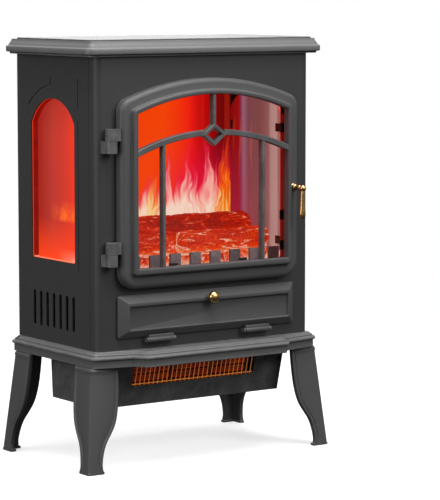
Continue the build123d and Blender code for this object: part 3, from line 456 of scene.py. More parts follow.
def lit_points(name, strength, rough, relief):
    """Moulded resin lit from inside: its glow is painted on the points of the mesh."""
    f = Finish(name)
    grain = f.clouds(420, 5, rough=0.7)
    f.set(Base_Color=f.mix(grain * 0.5, f.painted_on("skin"), (0.012, 0.008, 0.007)),
          Specular_IOR_Level=0.12, Roughness=rough + (grain - 0.5) * 0.2,
          Emission_Color=f.mix(grain.over(0.4, 0.62) * 0.45, f.painted_on("glow"), (0.02, 0, 0)),
          Emission_Strength=strength, Normal=f.bump(grain, relief, 0.9))
    return f.material


def flame_film(name, strength):
    """Translucent screen with the flames painted on its points."""
    f = Finish(name)
    ripple = f.clouds(160, 3, f.stretched((1, 1, 0.15)))
    f.set(Base_Color=f.tones(ripple, (0.012, 0.004, 0.004), (0.02, 0.006, 0.005)),
          Specular_IOR_Level=0.1, Roughness=0.4 + ripple * 0.1, Normal=f.bump(ripple, 0.00003, 0.3),
          Emission_Color=f.painted_on("glow"), Emission_Strength=strength)
    return f.material


def hot_wire(name, strength):
    """Resistance wire: oxidised grey, with patches at orange heat."""
    f = Finish(name)
    patches = f.clouds(45, 3)
    heat = f.ramp(patches, [(0.3, linear(120, 14, 2)), (0.5, linear(200, 44, 6)),
                            (0.75, linear(246, 96, 16))])
    scale = f.clouds(900, 3)
    f.set(Base_Color=f.tones(scale, (0.05, 0.035, 0.03), (0.14, 0.10, 0.08)),
          Metallic=0.7, Roughness=0.5 + scale * 0.2, Emission_Color=heat,
          Emission_Strength=strength, Normal=f.bump(scale, 0.00003))
    return f.material


# Height, in metres, over which the painted glow of the hot element on the outlet wires fades.
GRILLE_GLOW_Z = (0.109, 0.142)


def lit_grille(name):
    """Bright wire with the orange light of the hot element behind it painted on as glow."""
    f = Finish(name)
    film = f.clouds(120, 4)
    foot, head = GRILLE_GLOW_Z
    glow = f.ramp(f.along("Z").over(foot, head) + (film - 0.5) * 0.3,
                  [(0.0, linear(214, 120, 20)), (0.45, linear(176, 104, 44)),
                   (1.0, linear(120, 84, 56))])
    f.set(Base_Color=f.tones(film, (0.42, 0.34, 0.24), (0.6, 0.5, 0.38)), Metallic=0.9,
          Roughness=0.3 + film * 0.2, Emission_Color=glow, Emission_Strength=0.5,
          Normal=f.bump(f.clouds(2000, 2), 0.00001, 0.5))
    return f.material


def finish(name):
    """The named material, made the first time that it is asked for."""
    found = bpy.data.materials.get(FINISH_PREFIX + name)
    if found:
        return found
    look = bpy.context.scene.stove_finishes
    fire = bpy.context.scene.stove_fire
    makers = {
        "sheet_paint": lambda: painted(name, look.sheet, 0.52, False),
        "chamber_sheet": lambda: painted(name, look.sheet, 0.52, False, fire.windows),
        "ceramic": lambda: plastic(name, (0.12, 0.05, 0.03), 0.7, 700),
        "casting_paint": lambda: painted(name, look.casting, 0.50, True),
        # The cast paint made 1.7 times lighter for the cap and skirt: a painted highlight where
        # their mouldings catch the light.
        "moulding_paint": lambda: painted(name, shade(look.casting, 1.7), 0.46, True),
        "cast_iron": lambda: painted(name, (0.12, 0.095, 0.10), 0.6, True),
        "black_steel": lambda: metal(name, (0.07, 0.07, 0.072), 0.42),
        "zinc": lambda: metal(name, (0.55, 0.56, 0.58), 0.36, (0.08, 1, 1)),
        "chamber_steel": lambda: painted(name, (0.06, 0.045, 0.042), 0.45, False),
        "brass": lambda: metal(name, look.brass, 0.24, (1, 1, 0.1)),
        "grille_steel": lambda: lit_grille(name),
        "black_plastic": lambda: plastic(name, (0.018, 0.018, 0.019), 0.42),
        "red_plastic": lambda: plastic(name, (0.5, 0.012, 0.010), 0.25, 1500),
        "gasket_rope": lambda: braided(name, (0.16, 0.15, 0.14)),
        "circuit_board": lambda: circuit(name),
        "door_pane": lambda: clear_pane(name),
        "left_pane": lambda: milky_pane(name, fire.windows, "left"),
        "right_pane": lambda: milky_pane(name, fire.windows, "right"),
        "window_reveal": lambda: glowing_jamb(name, fire.windows),
        "log_resin": lambda: lit_points(name, fire.embers, 0.6, 0.0006),
        "ember_resin": lambda: lit_points(name, fire.embers, 0.55, 0.0008),
        "flame_film": lambda: flame_film(name, fire.glow),
        "hot_wire": lambda: hot_wire(name, fire.element),
    }
    return makers[name]()


# ---------------------------------------------------------------- outlines and shapes

def place(node):
    """Lowest and highest corner of a CAD node, in millimetres."""
    return [np.array(corner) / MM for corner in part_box(node)]


def arc(centre, radius, start, end, steps):
    """Points of a circular arc from one angle to another, ends included."""
    angles = np.linspace(start, end, steps)
    return [(centre[0] + radius * math.cos(a), centre[1] + radius * math.sin(a)) for a in angles]


def arched(half, sill, spring, crown, foot, shoulder):
    """Closed outline: flat sill, upright sides and a curved head, always of equally many points."""
    rise = crown - spring
    radius = (half**2 + rise**2) / (2 * rise)
    hub = crown - radius
    shoulder_x = half - shoulder
    shoulder_z = hub + math.sqrt((radius - shoulder)**2 - shoulder_x**2)
    turn = math.atan2(shoulder_z - hub, shoulder_x)
    right = arc((half - foot, sill + foot), foot, -math.pi / 2, 0, 8)
    right += arc((shoulder_x, shoulder_z), shoulder, 0, turn, 12)
    head = arc((0, hub), radius, turn, math.pi - turn, 49)[1:-1]
    return right + head + [(-x, z) for x, z in reversed(right)]


def smooth_through(stops, steps):
    """Catmull-Rom curve through points of any dimension, with steps points to each span."""
    stops = np.array(stops, float)
    padded = np.vstack([2 * stops[0] - stops[1], stops, 2 * stops[-1] - stops[-2]])
    made = []
    for k in range(len(stops) - 1):
        a, b, c, d = padded[k:k + 4]
        for t in np.linspace(0, 1, steps, endpoint=False):
            made.append(0.5 * (2 * b + (c - a) * t + (2 * a - 5 * b + 4 * c - d) * t**2
                               + (3 * b - a - 3 * c + d) * t**3))
    return np.array(made + [stops[-1]])


def inset_plan(plan, distance):
    """A closed plan, listed anticlockwise, with each side moved inwards and its corners mitred."""
    plan = np.array(plan, float)
    along = np.roll(plan, -1, 0) - plan
    along /= np.linalg.norm(along, axis=1)[:, None]
    inward = np.stack([-along[:, 1], along[:, 0]], 1)
    before = np.roll(inward, 1, 0)
    return plan + distance * (inward + before) / (1 + (inward * before).sum(1))[:, None]


def rounded_plan(low, high, radius, steps=10):
    """Rectangle in plan with rounded corners, listed anticlockwise."""
    quarter = math.pi / 2
    return (arc((high[0] - radius, low[1] + radius), radius, -quarter, 0, steps)
            + arc((high[0] - radius, high[1] - radius), radius, 0, quarter, steps)
            + arc((low[0] + radius, high[1] - radius), radius, quarter, 2 * quarter, steps)
            + arc((low[0] + radius, low[1] + radius), radius, 2 * quarter, 3 * quarter, steps))


class Shape:
    """Points and faces of a piece in the making."""

    def __init__(self):
        self.points = []
        self.faces = []

    def loft(self, rings, loop=False):
        """Skin over rings of equally many points; a loop joins the last ring to the first."""
        first = len(self.points)
        count = len(rings[0])
        for ring in rings:
            self.points.extend(tuple(p) for p in ring)
        for r in range(len(rings) if loop else len(rings) - 1):
            a = first + r * count
            b = first + (r + 1) % len(rings) * count
            for i in range(count):
                j = (i + 1) % count
                self.faces.append((a + i, a + j, b + j, b + i))
        if not loop:
            self.faces.append(tuple(range(first, first + count))[::-1])
            self.faces.append(tuple(range(len(self.points) - count, len(self.points))))
        return self

    def turned(self, start, axis, profile, steps=48):
        """Solid of revolution about an axis; profile is (distance from start, radius) pairs."""
        along = Vector(axis).normalized()
        side = along.orthogonal().normalized()
        other = along.cross(side)
        turns = np.linspace(0, 2 * math.pi, steps, endpoint=False)
        rings = [[Vector(start) + along * d + (side * math.cos(t) + other * math.sin(t)) * r
                  for t in turns] for d, r in profile]
        return self.loft(rings)

    def bar(self, low, high, edge):
        """Rectangular bar between two corners, its edges chamfered."""
        low, high = np.array(low, float), np.array(high, float)
        rings = []
        for y, inset in ((low[1], edge), (low[1] + edge, 0), (high[1] - edge, 0), (high[1], edge)):
            x0, z0, x1, z1 = low[0] + inset, low[2] + inset, high[0] - inset, high[2] - inset
            rings.append([(x0, y, z0), (x1, y, z0), (x1, y, z1), (x0, y, z1)])
        return self.loft(rings)

    def piece(self, name, material, bevel=0.0, crease=32):
        """The finished mesh object, with outward faces, rounded edges and its material."""
        mesh = bpy.data.meshes.new(name)
        mesh.from_pydata([tuple(c * MM for c in p) for p in self.points], [], self.faces)
        work = bmesh.new()
        work.from_mesh(mesh)
        bmesh.ops.remove_doubles(work, verts=work.verts, dist=1e-6)
        bmesh.ops.dissolve_degenerate(work, edges=work.edges, dist=1e-7)
        bmesh.ops.recalc_face_normals(work, faces=work.faces)
        work.to_mesh(mesh)
        work.free()
        made = bpy.data.objects.new(name, mesh)
        bpy.context.scene.collection.objects.link(made)
        if bevel:
            rounding = made.modifiers.new("rounding", "BEVEL")
            rounding.width = bevel
            rounding.segments = 2
            rounding.limit_method = "ANGLE"
            rounding.angle_limit = math.radians(crease)
            rounding.use_clamp_overlap = True
            settle(made)
        soften(made, crease)
        made.data.materials.clear()
        made.data.materials.append(finish(material))
        return made


def settle(piece):
    """Turns a piece's modifiers into the plain mesh that they give."""
    evaluated = piece.evaluated_get(bpy.context.evaluated_depsgraph_get())
    mesh = bpy.data.meshes.new_from_object(evaluated)
    piece.modifiers.clear()
    piece.data = mesh


def soften(piece, crease):
    """Smooth shading, with edges sharper than the crease angle left sharp."""
    piece.data.shade_smooth()
    piece.data.set_sharp_from_angle(angle=math.radians(crease))


def fit(piece, body, slot, *nodes):
    """Puts a piece on its body and in the place of its CAD nodes, which it hides; slot is not used.
    """
    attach(piece, body)
    if nodes:
        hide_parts(*nodes)
    return piece


def dress(material, *nodes):
    """Gives CAD nodes a finish."""
    for node in nodes:
        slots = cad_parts[node].data.materials
        slots.clear()
        slots.append(finish(material))


def points_of(piece):
    """Points of a mesh, in millimetres."""
    flat = np.zeros(len(piece.data.vertices) * 3)
    piece.data.vertices.foreach_get("co", flat)
    return flat.reshape(-1, 3) / MM


def colour_points(piece, name, colours):
    """Writes linear colours on the points of a mesh."""
    layer = piece.data.attributes.new(name, "FLOAT_COLOR", "POINT")
    rgba = np.ones((len(colours), 4))
    rgba[:, :3] = colours
    layer.data.foreach_set("color", rgba.ravel())


def mapped(values, stops):
    """Colours for an array of values; stops are (value, linear colour) pairs."""
    places = [s[0] for s in stops]
    channels = [np.interp(values, places, [s[1][c] for s in stops]) for c in range(3)]
    return np.stack(channels, -1)


def lattice_noise(across, up, width, height, seed):
    """Smooth random values from 0 to 1 on a grid of cells of the given size."""
    grid = np.random.default_rng(seed).random((64, 64))
    u, v = across / width, up / height
    i, j = np.floor(u).astype(int), np.floor(v).astype(int)
    s, t = u - i, v - j
    s, t = s * s * (3 - 2 * s), t * t * (3 - 2 * t)
    low = grid[i % 64, j % 64] * (1 - s) + grid[(i + 1) % 64, j % 64] * s
    high = grid[i % 64, (j + 1) % 64] * (1 - s) + grid[(i + 1) % 64, (j + 1) % 64] * s
    return low * (1 - t) + high * t


# ---------------------------------------------------------------- repeated shapes

class Pattern(Graph):
    """A Geometry Nodes tree in the making; its inputs' names are listed by their kind."""

    def __init__(self, name, **inputs):
        super().__init__(bpy.data.node_groups.new(name, "GeometryNodeTree"))
        face = self.tree.interface
        face.new_socket("Geometry", in_out="OUTPUT", socket_type="NodeSocketGeometry")
        for kind, labels in {"Geometry": "Geometry", **inputs, "Material": "Finish"}.items():
            for label in labels.split(", "):
                face.new_socket(label, in_out="INPUT", socket_type=f"NodeSocket{kind}")
        entry = self.tree.nodes.new("NodeGroupInput")
        self.inlet = {socket.name: Wire(self, socket) for socket in entry.outputs if socket.name}

    def line(self, count, start, step):
        """A row of points."""
        return self.node("GeometryNodeMeshLine", {"mode": "OFFSET"},
                         {"Count": count, "Start Location": start, "Offset": step})

    def tube(self, path, radius, sides):
        """Closed round tube along a curve."""
        profile = self.node("GeometryNodeCurvePrimitiveCircle", None,
                            {"Resolution": sides, "Radius": radius})
        return self.node("GeometryNodeCurveToMesh", None,
                         {0: path, "Profile Curve": profile, "Fill Caps": True})

    def rod(self, run, radius):
        """Straight wire from the origin."""
        line = self.node("GeometryNodeCurvePrimitiveLine", None, {"End": run})
        return self.tube(line, radius, 10)

    def copies(self, points, shape, **sockets):
        """The shape repeated on points."""
        return self.node("GeometryNodeInstanceOnPoints", None,
                         {"Points": points, "Instance": shape, **sockets})

    def grow(self, name, host, geometry, material, crease=40, **values):
        """Ends the tree, runs it on the host's mesh and leaves the plain mesh that it gives."""
        whole = self.node("GeometryNodeRealizeInstances", None, {0: geometry})
        clad = self.node("GeometryNodeSetMaterial", None,
                         {"Geometry": whole, "Material": self.inlet["Finish"]})
        self.node("NodeGroupOutput", None, {0: clad}, out=None)
        piece = bpy.data.objects.new(name, host)
        bpy.context.scene.collection.objects.link(piece)
        growth = piece.modifiers.new("pattern", "NODES")
        growth.node_group = self.tree
        values["Finish"] = finish(material)
        for item in self.tree.interface.items_tree:
            if item.in_out == "INPUT" and item.name.replace(" ", "_") in values:
                growth[item.identifier] = values[item.name.replace(" ", "_")]
        settle(piece)
        work = bmesh.new()
        work.from_mesh(piece.data)
        bmesh.ops.recalc_face_normals(work, faces=work.faces)
        work.to_mesh(piece.data)
        work.free()
        soften(piece, crease)
        return piece


def bare_mesh(name, points=()):
    """A mesh of loose points, in millimetres, for a tree to work on."""
    mesh = bpy.data.meshes.new(name)
    mesh.from_pydata([tuple(c * MM for c in p) for p in points], [], [])
    return mesh


# ---------------------------------------------------------------- casing, cap, skirt and legs

class STOVE_OT_casing(bpy.types.Operator):
    """Painted sheets of the body"""

    bl_idname = "stove.casing"
    bl_label = "Casing"

    def execute(self, context):
        dress("chamber_sheet", "front_shell", "left_side_panel", "right_side_panel")
        dress("sheet_paint", "back_panel")
        dress("casting_paint", "top_plate", "heater_housing")
        dress("black_plastic", "cord_gland")
        dress("zinc", "base_plate")
        return {"FINISHED"}


# Plan of a louvre, from its root at the sheet to its free lip: along the sheet, and depth.
LOUVRE = ((-5.0, 0.0), (-4.4, -1.6), (-2.8, -3.4), (-0.4, -4.7), (2.6, -5.3), (5.6, -5.5))
LOUVRE_WALL = 0.8
VENT_Z = 214.0
# Each bank of vents: how many, their spacing and their height; the back has a second row above.
BACK_VENTS = (13, 18.0, 48)
BACK_ROW_GAP = 256
SIDE_VENTS = (7, 17.8, 53)
SIDE_VENTS_Y = 26.75


class STOVE_OT_louvres(bpy.types.Operator):
    """Louvres pressed inwards behind the vents of the back and side sheets"""

    bl_idname = "stove.louvres"
    bl_label = "Louvres"

    def execute(self, context):
        back = place("back_panel")[0][1]
        self.rows("back_louvres", lambda along, depth: (along, depth), (0, back), BACK_VENTS,
                  BACK_ROW_GAP)
        for side, name in ((-1, "left"), (1, "right")):
            wall = min(abs(corner[0]) for corner in place(f"{name}_side_panel"))
            self.rows(f"{name}_louvres", lambda along, depth, side=side: (side * depth, along),
                      (side * wall, SIDE_VENTS_Y), SIDE_VENTS)
        return {"FINISHED"}

    @staticmethod
    def rows(name, lay, middle, vents, gap=0):
        """A row of vents about a middle in plan, or two rows a gap apart; lay turns their run."""
        count, spacing, tall = vents
        section = list(LOUVRE) + [(along, depth - LOUVRE_WALL) for along, depth in reversed(LOUVRE)]
        blade = Shape().loft([[(*lay(along, depth), z) for along, depth in section]
                              for z in (-tall / 2, tall / 2)])
        host = blade.piece(f"{name}_blade", "sheet_paint", bevel=0.15)
        tree = Pattern(name, Int="Count, Rows", Vector="Start, Step, Row gap")
        inlet = tree.inlet
        row = tree.copies(tree.line(inlet["Count"], (0, 0, 0), inlet["Step"]), inlet["Geometry"])
        both = tree.copies(tree.line(inlet["Rows"], inlet["Start"], inlet["Row gap"]), row)
        step = np.abs((*lay(spacing, 0), 0))
        start = np.array((*middle, VENT_Z)) - step * (count - 1) / 2
        made = tree.grow(name, host.data, both, "sheet_paint", Count=count, Rows=2 if gap else 1,
                         Start=list(start * MM), Step=list(step * MM), Row_gap=(0, 0, gap * MM))
        bpy.data.objects.remove(host)
        fit(made, "stove", "body_paint")


# Seats of the screws: (x, z) on the back sheet, and whole places on the heater's sloping front,
# with the way that those face.
BACK_SCREWS = tuple((x, z) for z in (185, 350, 545) for x in (-172, 172)) + ((-60, 545), (60, 545))
HOOD_SCREWS = ((-148.0, -61.9, 128.7), (148.0, -61.9, 128.7))
HOOD_SLOPE = (0.0, -0.969, -0.248)
HEAD_R = 3.6
HEAD_FLAT = 0.5
RECESS_W = 0.9


class STOVE_OT_screws(bpy.types.Operator):
    """Cross-recessed pan heads of the casing screws"""

    bl_idname = "stove.screws"
    bl_label = "Casing screws"

    def execute(self, context):
        seat = place("back_panel")[1][1]
        spots = [(x, seat, z) for x, z in BACK_SCREWS] + list(HOOD_SCREWS)
        host = bare_mesh("screw_seats", spots)
        facing = host.attributes.new("facing", "FLOAT_VECTOR", "POINT")
        ways = [(0.0, 1.0, 0.0)] * len(BACK_SCREWS) + [HOOD_SLOPE] * len(HOOD_SCREWS)
        facing.data.foreach_set("vector", np.ravel(ways))
        heads = Pattern("pan_heads", Float="Head radius, Recess width", Vector="Flatness")
        inlet = heads.inlet
        dome = heads.node("GeometryNodeMeshUVSphere", None,
                          {"Segments": 24, "Rings": 12, "Radius": inlet["Head radius"]})
        dome = heads.node("GeometryNodeTransform", None,
                          {"Geometry": dome, "Scale": inlet["Flatness"]})
        reach, depth = inlet["Head radius"] * 1.15, inlet["Head radius"] * 0.5
        lift = heads.node("ShaderNodeCombineXYZ", None, {2: depth})
        for wide, long in ((inlet["Recess width"], reach), (reach, inlet["Recess width"])):
            size = heads.node("ShaderNodeCombineXYZ", None, {0: wide, 1: long, 2: depth})
            slot = heads.node("GeometryNodeMeshCube", None, {"Size": size})
            slot = heads.node("GeometryNodeTransform", None,
                              {"Geometry": slot, "Translation": lift})
            dome = heads.node("GeometryNodeMeshBoolean", {"operation": "DIFFERENCE"},
                              {0: dome, 1: slot})
        way = heads.node("GeometryNodeInputNamedAttribute", {"data_type": "FLOAT_VECTOR"},
                         {"Name": "facing"})
        turn = heads.node("FunctionNodeAlignRotationToVector", {"axis": "Z"}, {"Vector": way})
        laid = heads.copies(inlet["Geometry"], dome, Rotation=turn)
        made = heads.grow("screw_heads", host, laid, "black_steel", Head_radius=HEAD_R * MM,
                          Recess_width=RECESS_W * MM, Flatness=(1, 1, HEAD_FLAT))
        fit(made, "stove", "steel_black", "casing_screws")
        return {"FINISHED"}


# Mouldings are (rise, inset) pairs, listed along the edge.
CAP_CORNER = 14.0
CAP_WALL = 24.0
CAP_PROFILE = ((0.0, 5.6), (2.1, 5.6), (2.6, 4.4), (2.9, 1.3), (3.6, 0.3), (4.8, 0.0), (9.6, 0.0),
               (10.9, 0.4), (11.7, 1.4), (12.0, 2.9), (12.5, 3.7), (13.6, 4.1), (15.2, 5.0),
               (17.0, 6.6), (18.8, 7.9), (21.2, 8.4))


class STOVE_OT_cap(bpy.types.Operator):
    """Moulded cap, its stepped edge swept round a rounded plan"""

    bl_idname = "stove.cap"
    bl_label = "Cap"

    def execute(self, context):
        low, high = place("top_cap")

        def ring(rise, inset):
            plan = rounded_plan(low + inset, high - inset, max(CAP_CORNER - inset, 1.5))
            return [(x, y, low[2] + rise) for x, y in plan]

        rings = [ring(high[2] - low[2] - 2.5, CAP_WALL), ring(0, CAP_WALL)]
        rings += [ring(rise, inset) for rise, inset in CAP_PROFILE]
        # Its lighter paint is a painted highlight.
        cap = Shape().loft(rings).piece("cap_moulding", "moulding_paint", crease=40)
        fit(cap, "stove", "casting_paint", "top_cap")
        return {"FINISHED"}


LEDGE_HALF = 118.0
LEDGE_RUN = 20.0
LEDGE_STEP = 18.0
WING_STEP = 27.0
SKIRT_CLIP = 11.0
SKIRT_WALL = 14.0
SKIRT_WEB = 19.0
SHELL_GAP = 6
SKIRT_PROFILE = ((22.3, 9.4), (21.4, 9.0), (20.6, 8.0), (19.9, 6.7), (19.2, 5.3), (18.6, 4.4),
                 (18.0, 4.0), (17.6, 4.2), (17.2, 4.5), (16.9, 3.4), (16.4, 1.8), (15.6, 0.6),
                 (14.6, 0.0), (12.6, 0.0), (11.8, 0.4), (11.3, 1.3), (11.1, 2.6), (10.4, 3.0),
                 (0.8, 3.0), (0.0, 3.7))


def skirt_plan(low, high):
    """Half of the plan is drawn from the ledge in front to the back corner, then mirrored."""
    ledge = [(LEDGE_HALF + LEDGE_RUN * t, low[1] + LEDGE_STEP * (1 - math.cos(math.pi * t)) / 2)
             for t in np.linspace(0, 1, 11)]
    corner = (high[0] - SKIRT_CLIP, low[1] + WING_STEP + SKIRT_CLIP)
    right = ledge + arc(corner, SKIRT_CLIP, -math.pi / 2, 0, 8)
    right += [(high[0], high[1] - 1.5), (high[0] - 1.5, high[1])]
    return right + [(-x, y) for x, y in reversed(right)]


class STOVE_OT_skirt(bpy.types.Operator):
    """Skirt moulding, mitred round the bowed ledge and the canted wings"""

    bl_idname = "stove.skirt"
    bl_label = "Skirt"

    def execute(self, context):
        low, high = place("base_skirt")
        plan = skirt_plan(low, high)
        rings = [[(x, y, low[2] + rise) for x, y in inset_plan(plan, inset)]
                 for rise, inset in (*SKIRT_PROFILE, (0.0, SKIRT_WALL), (SKIRT_WEB, SKIRT_WALL))]
        shell_low, shell_high = (corner[:2] for corner in place("base_plate"))
        well = np.clip(plan, shell_low + SHELL_GAP, shell_high - SHELL_GAP)
        rings += [[(x, y, low[2] + rise) for x, y in well]
                  for rise in (SKIRT_WEB, high[2] - low[2])]
        # Its lighter paint is a painted highlight.
        skirt = Shape().loft(rings, loop=True).piece("skirt_moulding", "moulding_paint", crease=38)
        fit(skirt, "stove", "casting_paint", "base_skirt")
        return {"FINISHED"}


LEG_WALL = 5.5
LEG_SPLAY = 14.4
LEG_WIDTHS = ((1.0, 43.0), (0.877, 44.6), (0.685, 45.5), (0.548, 44.2), (0.452, 41.0), (0.37, 35.0),
              (0.288, 28.0), (0.205, 24.2), (0.096, 22.4), (0.03, 24.2), (0.0, 25.6))
RIM_WIDE = 6.0
RIM_PROUD = 1.1
COLLAR_PROUD = 1.0
# Ribs across the hollow side: height above the floor and reach from the corner.
RIBS = ((44.0, 16.0), (82.0, 26.0), (117.0, 34.0))
RIB_THICK = 3.0
FOOT_PLAN = ((0.1, 0.1), (26.4, 0.1), (26.4, 8.6), (8.6, 8.6), (8.6, 26.4), (0.1, 26.4))
FOOT_PROFILE = ((0.0, 1.2), (0.8, 0.3), (2.0, 0.0), (3.4, 0.4), (4.2, 1.4))


def angle_section(width, rim, collar):
    """L-shaped section, a grooved bead on both flanges: distances in from the outer corner."""
    wall = LEG_WALL
    bead = [(1.0, 0.9), (0.75, -0.6), (0.45, -1.0), (0.15, -0.7)]
    flange = [(3.5, -collar), (width * 0.5, -collar), (width - RIM_WIDE - 0.8, -collar)]
    flange += [(width - RIM_WIDE * share, rim * proud - collar) for share, proud in bead]
    flange += [(width, -rim * 0.1), (width, wall + rim * 0.2), (width - RIM_WIDE * 0.4, wall + rim),
               (width - RIM_WIDE, wall), (wall + 4, wall)]
    corner = [(-collar, 3.5), (0.9 - collar, 1.2 - collar), (1.2 - collar, 0.9 - collar)]
    inner = [(wall + 1.3, wall + 1.3)]
    return corner[1:] + flange + inner + [(v, u) for u, v in reversed(flange)]


def leg_piece(side, end, node, name):
    """Splayed cast leg: lofted angle section, ribs across its hollow side and an open foot."""
    low, high = place(node)
    height = high[2]
    out_y = {"front": -1, "back": 1}[end]
    foot = np.array([low[0] if side < 0 else high[0], low[1] if out_y < 0 else high[1]])

    def at(rise, u, v):
        lean = LEG_SPLAY * rise / height
        return (foot[0] - side * (lean + u), foot[1] - out_y * (lean + v), rise)

    shape = Shape()
    stops = [(share * height, width) for share, width in LEG_WIDTHS]
    rings = []
    for rise, width in smooth_through(stops, 5):
        rise = min(max(rise, 0), height)
        collar = COLLAR_PROUD * max(0.0, 1 - ((height - rise - 3) / 2.6)**2)
        rim = RIM_PROUD * min(1, rise / 14) * min(1, (height - rise) / 5 + 0.25)
        rings.append([at(rise, u, v) for u, v in angle_section(width, rim, collar)])
    shape.loft(rings)
    for rise, reach in RIBS:
        web = [(LEG_WALL - 1, LEG_WALL - 1), (reach, LEG_WALL - 1), (LEG_WALL - 1, reach)]
        shape.loft([[at(rise + up, u, v) for u, v in web] for up in (0, RIB_THICK)])
    shape.loft([[at(rise, u, v) for u, v in inset_plan(FOOT_PLAN, inset)]
                for rise, inset in FOOT_PROFILE])
    leg = shape.piece(name, "casting_paint", bevel=0.35, crease=34)
    return fit(leg, "stove", "casting_paint", node)


class STOVE_OT_legs(bpy.types.Operator):
    """Four splayed legs and the bolts that hold them"""

    bl_idname = "stove.legs"
    bl_label = "Legs"

    def execute(self, context):
        for end in ("front", "back"):
            for side, hand in ((-1, "left"), (1, "right")):
                leg_piece(side, end, f"{end}_{hand}_leg", f"{end}_{hand}_leg_casting")
        dress("black_steel", "leg_bolts")
        return {"FINISHED"}


# ---------------------------------------------------------------- door

DOOR_LOW, DOOR_HIGH = place("door_frame")
DOOR_BACK = DOOR_HIGH[1]
DOOR_BEAD = DOOR_LOW[1]
DOOR_FACE = DOOR_BEAD + 7.5
DOOR_EDGE_R = 7.0
BEAD_IN = 16.5
OPENING_IN = 23.0
LIP_DEEP = 11.5
GLASS_SEAT_IN = 9.0
BARS_LOW, BARS_HIGH = place("door_muntins")


def door_outline(inset, y):
    """Outline of the door at an inset from its outer edge; it changes shape towards the opening."""
    stops = (0, BEAD_IN, OPENING_IN)
    sill = DOOR_LOW[2] + np.interp(inset, stops, (0, 20, 29))
    spring = DOOR_HIGH[2] - np.interp(inset, stops, (31, 41.6, 47.2))
    crown = DOOR_HIGH[2] - np.interp(inset, stops, (0, 15.8, 22.3))
    foot = np.interp(inset, stops, (25, 5, 1.2))
    shoulder = np.interp(inset, stops, (19, 5, 1.2))
    return [(x, y, z) for x, z in arched(DOOR_HIGH[0] - inset, sill, spring, crown, foot, shoulder)]


class STOVE_OT_door(bpy.types.Operator):
    """Cast door frame with a rounded outer edge and a bead round its glass"""

    bl_idname = "stove.door"
    bl_label = "Door frame"

    def execute(self, context):
        edge = arc((DOOR_EDGE_R, DOOR_FACE + DOOR_EDGE_R), DOOR_EDGE_R, math.pi, 1.5 * math.pi, 9)
        cove = arc((BEAD_IN - 1.6, DOOR_FACE - 1.6), 1.6, math.pi / 2, 0, 5)
        crest = arc((BEAD_IN + 2.2, DOOR_BEAD + 2.2), 2.2, math.pi, 1.5 * math.pi, 6)
        brow = arc((OPENING_IN - 1.2, DOOR_BEAD + 1.2), 1.2, -math.pi / 2, 0, 4)
        lip = DOOR_BEAD + LIP_DEEP
        seat = [(OPENING_IN, lip), (BEAD_IN, lip), (BEAD_IN, lip + 5.5), (GLASS_SEAT_IN, lip + 5.5),
                (GLASS_SEAT_IN, DOOR_BACK), (0.8, DOOR_BACK), (0, DOOR_BACK - 0.8)]
        rings = [door_outline(inset, y) for inset, y in edge + cove + crest + brow + seat]
        casting = Shape().loft(rings, loop=True).piece("door_casting", "casting_paint", crease=36)
        fit(casting, "door", "casting_paint", "door_frame")
        dress("casting_paint", "door_hinge_knuckles", "hinge_brackets")
        dress("zinc", "hinge_pins", "catch_magnets")
        dress("black_steel", "door_glass_clips")
        dress("gasket_rope", "door_gasket")
        dress("door_pane", "door_glass")
        return {"FINISHED"}


ARCH_BAR_R = 330.0
ARCH_BAR_CROWN = 468.5
ARCH_BAR_W = 8.0
UPRIGHT_X = 85.0
UPRIGHT_W = 4.6
# Half width and half height of the diamond at its outer edge, either side of its flat face, and
# at its pierced middle.
DIAMOND_Z = 465.5
DIAMOND = (20.5, 16.0)
DIAMOND_FLAT = ((19.4, 15.1), (13.6, 10.0))
PIERCED = (12.6, 9.2)
BAR_EDGE = 0.8


def bar_section(width, back, face):
    """Section of a lattice bar, its front edges bevelled: (across, y) points."""
    half = width / 2
    return [(-half, back), (half, back), (half, face + BAR_EDGE), (half - BAR_EDGE, face),
            (BAR_EDGE - half, face), (-half, face + BAR_EDGE)]


class STOVE_OT_lattice(bpy.types.Operator):
    """Lattice over the glass: arched bar, two uprights, top bar and pierced diamond"""

    bl_idname = "stove.lattice"
    bl_label = "Door lattice"

    def execute(self, context):
        face, back = BARS_LOW[1], BARS_HIGH[1]
        shape = Shape()
        hub = ARCH_BAR_CROWN - ARCH_BAR_R
        reach = math.asin((DOOR_HIGH[0] - OPENING_IN + 1) / ARCH_BAR_R)
        near = math.asin((DIAMOND[0] - 4.0) / ARCH_BAR_R)
        for start, end in ((-reach, -near), (near, reach)):
            shape.loft([[((ARCH_BAR_R + across) * math.sin(a), y,
                          hub + (ARCH_BAR_R + across) * math.cos(a))
                         for across, y in bar_section(ARCH_BAR_W, back, face)]
                        for a in np.linspace(start, end, 25)])
        foot = DOOR_LOW[2] + 28
        bar_top = hub + math.sqrt(ARCH_BAR_R**2 - UPRIGHT_X**2)
        spans = ((-UPRIGHT_X, foot, bar_top), (UPRIGHT_X, foot, bar_top),
                 (0, DIAMOND_Z + 12, DOOR_HIGH[2] - 22))
        for x, low, high in spans:
            shape.loft([[(x + across, y + 0.25, z)
                         for across, y in bar_section(UPRIGHT_W, back, face)] for z in (low, high)])
        diamond = ((DIAMOND, back), (DIAMOND, face + BAR_EDGE), (DIAMOND_FLAT[0], face - 0.1),
                   (DIAMOND_FLAT[1], face - 0.1), (PIERCED, face + BAR_EDGE), (PIERCED, back))
        shape.loft([[(-wide, y, DIAMOND_Z), (0, y, DIAMOND_Z - tall), (wide, y, DIAMOND_Z),
                     (0, y, DIAMOND_Z + tall)] for (wide, tall), y in diamond], loop=True)
        bars = shape.piece("door_lattice", "casting_paint", crease=30)
        fit(bars, "door", "casting_paint", "door_muntins")
        return {"FINISHED"}


